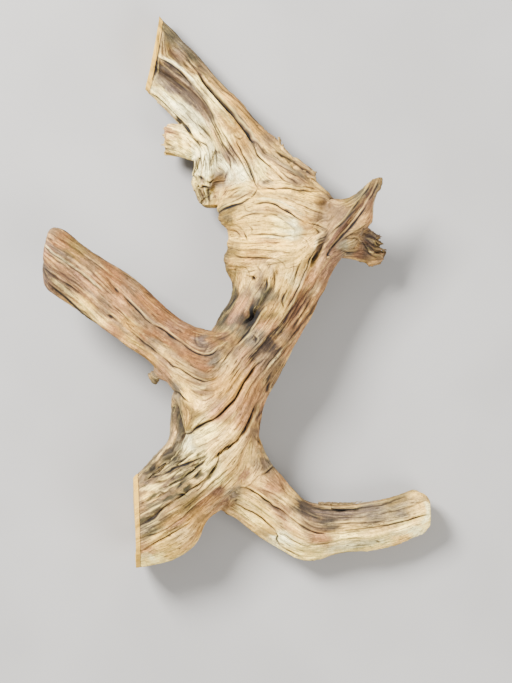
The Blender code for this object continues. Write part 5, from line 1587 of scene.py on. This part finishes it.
def weather(wood):
    """Shapes the skin from its lumps down to its fibres, and notes what the material needs."""
    points, normals = skin_of(wood.data)
    tops = points[:, :2].copy()
    directions = grain_map()
    plan = wrapped(points, normals)
    ridges = 1.3 - 2.2 * np.abs(look_up(combed(directions, 3, 1, 60), plan))
    lumps = look_up(combed(directions, 8, 6, 24), plan)
    out = RIDGE_HEIGHT * np.maximum(ridges, -2.0) + LUMP_HEIGHT * lumps
    for x, y, reach in THIN_ENDS:
        gap = np.hypot(points[:, 0] - x, points[:, 1] - y)
        out *= np.clip((gap - 8) / reach, 0.15, 1)
    # How deep each point lies in a furrow, and then also in a pit, for the painted shade there.
    shaded_hollow = cut_furrows(out, tops, normals)
    roughen(out, points)

    thread, strand, band, broad, gash = fibres(directions, plan)
    rotten = rot_at(tops)
    pit = rotten * np.clip(gash - 0.35, 0, 1.3)
    out += 0.5 * rotten - 1.9 * pit
    shaded_hollow = np.maximum(shaded_hollow, 0.6 * pit)
    fields = [crack_field(plan, tops, cracks) for cracks in all_cracks(directions)]
    first, second = (field[3] for field in fields)
    depth = np.maximum(first, second) + np.minimum(first, second).clip(-1, 0)
    facing = np.where(np.abs(plan - tops).max(axis=1) < 14, 1, 0.7)
    fine = 0.12 * thread + 0.22 * (0.8 - np.abs(strand)) + 0.22 * band
    fine -= depth * facing
    out += fine

    loose = np.empty(len(points), np.float32)
    wood.data.attributes["loose"].data.foreach_get("value", loose)
    out *= 1 - 0.9 * loose
    for x, y, reach in REST_SPOTS:
        near = np.hypot(points[:, 0] - x, points[:, 1] - y)
        worn = np.clip(1.5 - near / reach, 0, 1) * np.clip(-3 * normals[:, 2], 0, 1)
        out *= 1 - 0.85 * worn
    points += normals * out[:, None]
    lower_to_floor(points, normals)
    put_points(wood.data, points)

    notes = {
        "grain_a": grain_places(directions, plan, 31),
        "grain_b": grain_places(directions, plan, 32),
        "rotten": rotten,
        "thread": thread,
        "strand": strand,
        "band": band,
        "rim": saw_rim(points),
        "shaded_hollow": shaded_hollow,
        "pit": pit,
        "under": np.clip(-normals[:, 2] * 2, 0, 1),
    }
    for name, (signed, hold, wide, _) in zip(("crack_a", "crack_b"), fields):
        signed = np.clip(signed, -CRACK_REACH, CRACK_REACH)
        notes[name] = np.stack([signed, hold, wide], axis=1)
    tone = stained(tops, normals[:, 2], strand, band, broad)
    notes["tone"] = np.column_stack([tone, np.ones(len(tone))])
    for name, values in notes.items():
        note(wood.data, name, values)


def saw(wood, at, way, reach, material):
    """Cuts everything beyond a plane off and closes the wood there."""
    bm = bmesh.new()
    bm.from_mesh(wood.data)
    normal = Vector(way).normalized()
    middle = Vector(at) * MM
    near = [f for f in bm.faces if (f.verts[0].co - middle).length < reach * MM]
    edges = list({e for f in near for e in f.edges})
    verts = list({v for f in near for v in f.verts})
    cut = bmesh.ops.bisect_plane(
        bm,
        geom=verts + edges + near,
        dist=1e-7,
        plane_co=middle,
        plane_no=normal,
        clear_outer=True,
    )
    edges = [e for e in cut["geom_cut"] if isinstance(e, bmesh.types.BMEdge)]
    made = bmesh.ops.triangle_fill(bm, edges=edges, use_beauty=True, normal=normal)
    for face in made["geom"]:
        if isinstance(face, bmesh.types.BMFace):
            face.material_index = material
            face.smooth = False
    for edge in edges:
        if edge.is_valid:
            edge.smooth = False
    bm.to_mesh(wood.data)
    bm.free()


def thin_out(wood):
    """Fewer triangles, first where the wood lies face down."""
    group = wood.vertex_groups.new(name="under")
    values = np.empty(len(wood.data.vertices), np.float32)
    wood.data.attributes["under"].data.foreach_get("value", values)
    for step in range(1, 11):
        chosen = np.nonzero(np.round(values * 10) == step)[0]
        if len(chosen):
            group.add(chosen.tolist(), step / 10, "REPLACE")
    count = sum(len(face.vertices) - 2 for face in wood.data.polygons)
    if count > TRIANGLES:
        share = TRIANGLES / count
        finish_with(wood, "DECIMATE", ratio=share, vertex_group="under", vertex_group_factor=4.0)
    wood.vertex_groups.clear()


def fit_the_box(wood, box):
    """Moves the wood from the drawing's place to the model's, and keeps it inside its box."""
    points, _ = skin_of(wood.data)
    points[:, :2] += DRAWING_ZERO
    low, high = np.array(box, float).reshape(2, 3) / MM
    put_points(wood.data, np.clip(points, low, high))


def new_material(name, roughness):
    """A material with this roughness, its nodes and its surface."""
    made = bpy.data.materials.new(name)
    made.use_nodes = True
    surface = made.node_tree.nodes["Principled BSDF"]
    surface.inputs["Roughness"].default_value = roughness
    return made, made.node_tree, surface


def add_node(tree, kind, settings=(), **inputs):
    """A node with these settings, its inputs set or linked."""
    node = tree.nodes.new(kind)
    for key, value in dict(settings).items():
        setattr(node, key, value)
    for key, value in inputs.items():
        name = key.replace("_", " ")
        socket = node.inputs[int(key[1:])] if key[1:].isdigit() else node.inputs[name]
        if isinstance(value, bpy.types.NodeSocket):
            tree.links.new(value, socket)
        else:
            socket.default_value = value
    return node


def noted(tree, name, output="Fac"):
    """What weather() noted under this name."""
    return add_node(tree, "ShaderNodeAttribute", {"attribute_name": name}).outputs[output]


def own_place(tree):
    """Where on the object the light falls."""
    return add_node(tree, "ShaderNodeTexCoord").outputs["Object"]


def speckle(tree, place, scale, detail):
    """Noise that is alike in all directions, about 1 / scale metres to a speck."""
    made = add_node(tree, "ShaderNodeTexNoise", Vector=place, Scale=scale, Detail=detail)
    return made.outputs[0]


def calculate(tree, operation, a, b=0.0, c=0.0):
    """The result of one sum."""
    node = add_node(tree, "ShaderNodeMath", {"operation": operation}, i0=a, i1=b, i2=c)
    return node.outputs[0]


def product(tree, a, b):
    """One value times another."""
    return calculate(tree, "MULTIPLY", a, b)


def distance(tree, a, b):
    """How far apart two values are."""
    return calculate(tree, "ABSOLUTE", calculate(tree, "SUBTRACT", a, b))


def spread(tree, value, low, high, to_low=0.0, to_high=1.0):
    """The value's way from low to high turned into a soft way between two others."""
    node = add_node(
        tree,
        "ShaderNodeMapRange",
        {"clamp": True, "interpolation_type": "SMOOTHSTEP"},
        i0=value,
        i1=low,
        i2=high,
        i3=to_low,
        i4=to_high,
    )
    return node.outputs[0]


def mixed(tree, share, first, second, blend="MIX"):
    """The second colour over the first, by this share."""
    node = add_node(
        tree,
        "ShaderNodeMix",
        {"data_type": "RGBA", "blend_type": blend, "clamp_factor": True},
        i0=share,
        i6=first,
        i7=second,
    )
    return node.outputs[2]


def painted(tree, colour, share, name):
    """A colour of the palette over this one, mixed as the eye judges."""
    return mixed(tree, share, colour, tuple(eye_scale(PALETTE[name])) + (1.0,))


def washed(tree, colour, value, start, full, most, name):
    """A wash of one colour that sets in where the value passes start, and is strongest at full."""
    return painted(tree, colour, spread(tree, value, start, full, 0.0, most), name)


def along_the_grain(tree, scale, detail):
    """Noise drawn out along the grain, finer than the mesh. Nearly all of it lies from -3 to 3."""
    total = 0.0
    squares = 0.02
    for name in ("grain_a", "grain_b"):
        place = noted(tree, name, "Vector")
        sure = add_node(tree, "ShaderNodeSeparateXYZ", Vector=place).outputs["Z"]
        turned = add_node(tree, "ShaderNodeMapping", Vector=place, Scale=scale).outputs[0]
        rough = add_node(
            tree, "ShaderNodeTexNoise", Vector=turned, Scale=1.0, Detail=detail, Roughness=0.6
        )
        off = calculate(tree, "MULTIPLY_ADD", rough.outputs[0], 8.0, -4.0)
        total = calculate(tree, "MULTIPLY_ADD", off, sure, total)
        squares = calculate(tree, "MULTIPLY_ADD", sure, sure, squares)
    return calculate(tree, "DIVIDE", total, calculate(tree, "SQRT", squares))


def cracked(tree, name, colour):
    """The colour with one set of cracks over it: a painted highlight on one lip, and painted shade
    as a brown border and a dark core.
    """
    place = noted(tree, name, "Vector")
    crack, hold, wide = add_node(tree, "ShaderNodeSeparateXYZ", Vector=place).outputs
    away = calculate(tree, "ABSOLUTE", crack)
    # Painted shade: the dark core of the crack.
    core = calculate(tree, "SUBTRACT", wide, away)
    core = product(tree, spread(tree, core, -0.45, 0.15), hold)
    # Painted shade: a brown border round the crack.
    halo_shade = calculate(tree, "SUBTRACT", away, wide)
    halo_shade = product(tree, spread(tree, halo_shade, 1.8, 0.0, 0.0, 0.40), hold)
    # A painted highlight on the lip on one side of the crack.
    lip = distance(tree, calculate(tree, "SUBTRACT", crack, wide), 1.7)
    lip = product(tree, spread(tree, lip, 1.1, 0.2, 0.0, 0.40), hold)
    colour = painted(tree, colour, lip, "cream")
    colour = painted(tree, colour, halo_shade, "brown")
    return painted(tree, colour, core, "crack_shadow"), core


def rot_and_hollow_shade(tree, colour, hair, streak, dash):
    """The colour where the wood has rotted: brown and mossy, with pale ridges and dark pits; and
    brown painted shade down in every furrow and pit, all over the wood.
    """
    rotten = noted(tree, "rotten")
    worn = calculate(tree, "MULTIPLY_ADD", rotten, 1.2, dash)
    colour = washed(tree, colour, worn, 1.4, 2.6, 0.75, "brown")
    worn = calculate(tree, "MULTIPLY_ADD", rotten, -1.0, streak)
    colour = washed(tree, colour, worn, -1.9, -3.2, 0.55, "moss")
    # Painted shade: brown, stronger the deeper a point lies in a furrow or pit.
    colour = washed(tree, colour, noted(tree, "shaded_hollow"), 0.30, 1.2, 0.55, "brown")
    ridge = product(tree, rotten, spread(tree, streak, 0.1, 1.1, 0.0, 0.65))
    colour = painted(tree, colour, ridge, "cream")
    pit = calculate(tree, "MULTIPLY_ADD", hair, 0.05, noted(tree, "pit"))
    colour = washed(tree, colour, pit, 0.10, 0.70, 0.60, "olive")
    return washed(tree, colour, pit, 0.55, 1.10, 0.65, "moss")


def sawn_edge(tree, colour, hair, streak):
    """The colour with a strip of fresh wood along each saw cut, and a brown seam behind it."""
    edge = calculate(tree, "MULTIPLY_ADD", streak, 0.25, noted(tree, "rim"))
    fresh = eye_scale(PALETTE["sawn"])
    fresh = painted(tree, tuple(fresh) + (1.0,), spread(tree, hair, -2.0, 2.0), "sapwood")
    colour = mixed(tree, spread(tree, edge, SAWN_STRIP + 0.6, SAWN_STRIP), colour, fresh)
    seam = distance(tree, edge, SAWN_STRIP + 0.7)
    return washed(tree, colour, seam, 0.7, 0.1, 0.55, "brown")


def weathered_material():
    """Bare wood: stained patches, streaks along the grain, and painted shade: dark in the checks,
    with a painted highlight on one lip, and grey-brown in sunken places.
    """
    made, tree, surface = new_material("weathered wood", 0.78)
    place = own_place(tree)
    band = noted(tree, "band")
    pores = speckle(tree, place, 700.0, 3.0)
    specks = speckle(tree, place, 240.0, 3.0)
    mottle = speckle(tree, place, 45.0, 5.0)
    hair = along_the_grain(tree, (0.055, 0.75, 0.0), 3.0)
    streak = along_the_grain(tree, (0.020, 0.26, 0.0), 3.0)
    dash = along_the_grain(tree, (0.09, 0.55, 0.0), 1.0)

    colour = noted(tree, "tone", "Color")
    colour = washed(tree, colour, band, 0.3, 2.2, 0.35, "peach")
    colour = washed(tree, colour, band, -0.5, -2.2, 0.30, "grey")
    colour = washed(tree, colour, streak, 0.3, 2.0, 0.45, "pale")
    colour = washed(tree, colour, streak, -0.3, -2.2, 0.50, "ash")
    colour = washed(tree, colour, mottle, 0.54, 0.70, 0.35, "honey")
    colour = washed(tree, colour, mottle, 0.46, 0.30, 0.22, "grey")

    gain = calculate(tree, "MULTIPLY_ADD", hair, 0.105, 1.0)
    gain = calculate(tree, "MULTIPLY_ADD", noted(tree, "thread"), 0.030, gain)
    gain = calculate(tree, "MULTIPLY_ADD", noted(tree, "strand"), 0.050, gain)
    gain = product(tree, gain, spread(tree, pores, 0.3, 0.7, 0.92, 1.06))
    gain = product(tree, gain, spread(tree, specks, 0.3, 0.7, 0.92, 1.06))
    gain = calculate(tree, "MINIMUM", calculate(tree, "MAXIMUM", gain, 0.60), 1.25)
    colour = mixed(tree, 1.0, colour, gain, "MULTIPLY")

    hairline = spread(tree, calculate(tree, "ABSOLUTE", streak), 0.20, 0.05, 0.0, 0.72)
    hairline = product(tree, hairline, spread(tree, dash, -0.6, 1.0))
    colour = painted(tree, colour, hairline, "brown")
    ray = spread(tree, distance(tree, streak, 0.8), 0.18, 0.05, 0.0, 0.30)
    ray = product(tree, ray, spread(tree, dash, 0.6, -1.0))
    colour = painted(tree, colour, ray, "cream")
    colour = rot_and_hollow_shade(tree, colour, hair, streak, dash)
    # The cracks: painted shade in them, and a painted highlight on one lip.
    colour, first = cracked(tree, "crack_a", colour)
    colour, second = cracked(tree, "crack_b", colour)
    colour = sawn_edge(tree, colour, hair, streak)

    colour = add_node(tree, "ShaderNodeBrightContrast", Color=colour, Bright=-0.014, Contrast=0.19)
    colour = add_node(tree, "ShaderNodeHueSaturation", Color=colour.outputs[0], Saturation=0.9)
    colour = add_node(tree, "ShaderNodeGamma", Color=colour.outputs[0], Gamma=EYE_GAMMA)
    height = calculate(tree, "MULTIPLY_ADD", hair, 0.35, pores)
    height = calculate(tree, "MULTIPLY_ADD", streak, 0.35, height)
    height = calculate(tree, "MULTIPLY_ADD", hairline, -1.5, height)
    core = calculate(tree, "MAXIMUM", first, second)
    height = calculate(tree, "MULTIPLY_ADD", core, -2.5, height)
    bump = add_node(tree, "ShaderNodeBump", Strength=0.6, Distance=0.4 * MM, Height=height)
    tree.links.new(colour.outputs[0], surface.inputs["Base Color"])
    tree.links.new(bump.outputs[0], surface.inputs["Normal"])
    surface.inputs["Specular IOR Level"].default_value = 0.3
    return made


def sawn_material():
    """A saw cut across the grain: honey yellow, with rings round the heart and drying checks."""
    made, tree, surface = new_material("sawn end", 0.7)
    place = own_place(tree)
    wobble = speckle(tree, place, 28.0, 4.0)
    speck = speckle(tree, place, 500.0, 3.0)
    _, y, z = add_node(tree, "ShaderNodeSeparateXYZ", Vector=place).outputs
    y = calculate(tree, "SUBTRACT", calculate(tree, "ABSOLUTE", y), HEART[0] * MM)
    z = calculate(tree, "SUBTRACT", z, HEART[1] * MM)
    flat = add_node(tree, "ShaderNodeCombineXYZ", Y=y, Z=z).outputs[0]
    out = add_node(tree, "ShaderNodeVectorMath", {"operation": "LENGTH"}, i0=flat)
    out = calculate(tree, "MULTIPLY_ADD", wobble, 0.010, out.outputs["Value"])

    rings = calculate(tree, "SINE", product(tree, out, 2 * np.pi / (RING_WIDTH * MM)))
    turn = product(tree, calculate(tree, "ARCTAN2", z, y), 3.5)
    turn = calculate(tree, "MULTIPLY_ADD", wobble, 3.0, turn)
    away = calculate(tree, "ABSOLUTE", calculate(tree, "SINE", turn))
    check = spread(tree, product(tree, away, out), 0.0016, 0.0005, 0.0, 0.7)
    check = product(tree, check, spread(tree, out, 0.046, 0.026))

    sapwood, sawn, honey, umber = (
        PALETTE[name] + (1.0,) for name in ("sapwood", "sawn", "honey", "umber")
    )
    colour = mixed(tree, spread(tree, rings, -0.2, 1.0, 0.0, 0.55), sapwood, sawn)
    colour = mixed(tree, spread(tree, out, 0.030, 0.008, 0.0, 0.45), colour, honey)
    colour = mixed(tree, check, colour, umber)
    grain = spread(tree, speck, 0.3, 0.7, 0.85, 1.08)
    colour = mixed(tree, 1.0, colour, grain, "MULTIPLY")
    bump = add_node(tree, "ShaderNodeBump", Strength=0.4, Distance=0.3 * MM, Height=speck)
    tree.links.new(colour, surface.inputs["Base Color"])
    tree.links.new(bump.outputs[0], surface.inputs["Normal"])
    return made


def lay_floor():
    """A wide pale sheet under the wood."""
    bpy.ops.object.select_all(action="DESELECT")
    bpy.ops.mesh.primitive_grid_add(x_subdivisions=8, y_subdivisions=8, size=FLOOR_SIZE)
    floor = bpy.context.active_object
    floor.name = "floor"
    made, tree, surface = new_material("pale floor", 0.9)
    soft = spread(tree, speckle(tree, own_place(tree), 6.0, 2.0), 0.3, 0.7)
    tree.links.new(mixed(tree, soft, *FLOOR_COLOURS), surface.inputs["Base Color"])
    floor.data.materials.append(made)


def light_the_scene():
    """A window, a weak lamp on the far side, and the light of the room."""
    for name, (at, size, power, colour) in LAMPS.items():
        aim = Vector(LAMPS_AIM) - Vector(at)
        turned = aim.to_track_quat("-Z", "Y").to_euler()
        bpy.ops.object.light_add(type="AREA", location=at, rotation=turned)
        lamp = bpy.context.active_object
        lamp.name = name
        lamp.data.shape = "SQUARE"
        lamp.data.size = size
        lamp.data.energy = power
        lamp.data.color = colour
    world = bpy.data.worlds.new("soft room")
    world.use_nodes = True
    room = world.node_tree.nodes["Background"]
    room.inputs["Color"].default_value = ROOM_COLOUR
    room.inputs["Strength"].default_value = ROOM_STRENGTH
    bpy.context.scene.world = world


def look_down():
    """A long lens straight above, framed as the photograph is."""
    x, y = np.add(VIEW_MIDDLE, DRAWING_ZERO) * MM
    bpy.ops.object.camera_add(location=(x, y, (CAMERA_ABOVE + WOOD_HEIGHT) * MM))
    held = bpy.context.active_object
    held.name = "camera"
    held.data.sensor_fit = "VERTICAL"
    held.data.sensor_height = SENSOR
    held.data.lens = SENSOR * CAMERA_ABOVE / VIEW_HEIGHT
    held.data.clip_end = 20.0
    bpy.context.scene.camera = held


wood = grown_wood()
weather(wood)
wood.data.materials.append(weathered_material())
wood.data.materials.append(sawn_material())
for at, way in SAW_CUTS:
    saw(wood, at, way, SAW_REACH, 1)
saw(wood, (0, 0, 0), (0, 0, -1), WHOLE_REACH, 0)
thin_out(wood)
fit_the_box(wood, cad_box)
rounded = [face.material_index == 0 for face in wood.data.polygons]
wood.data.polygons.foreach_set("use_smooth", rounded)
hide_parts("driftwood")
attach(wood, "root")

lay_floor()
light_the_scene()
look_down()
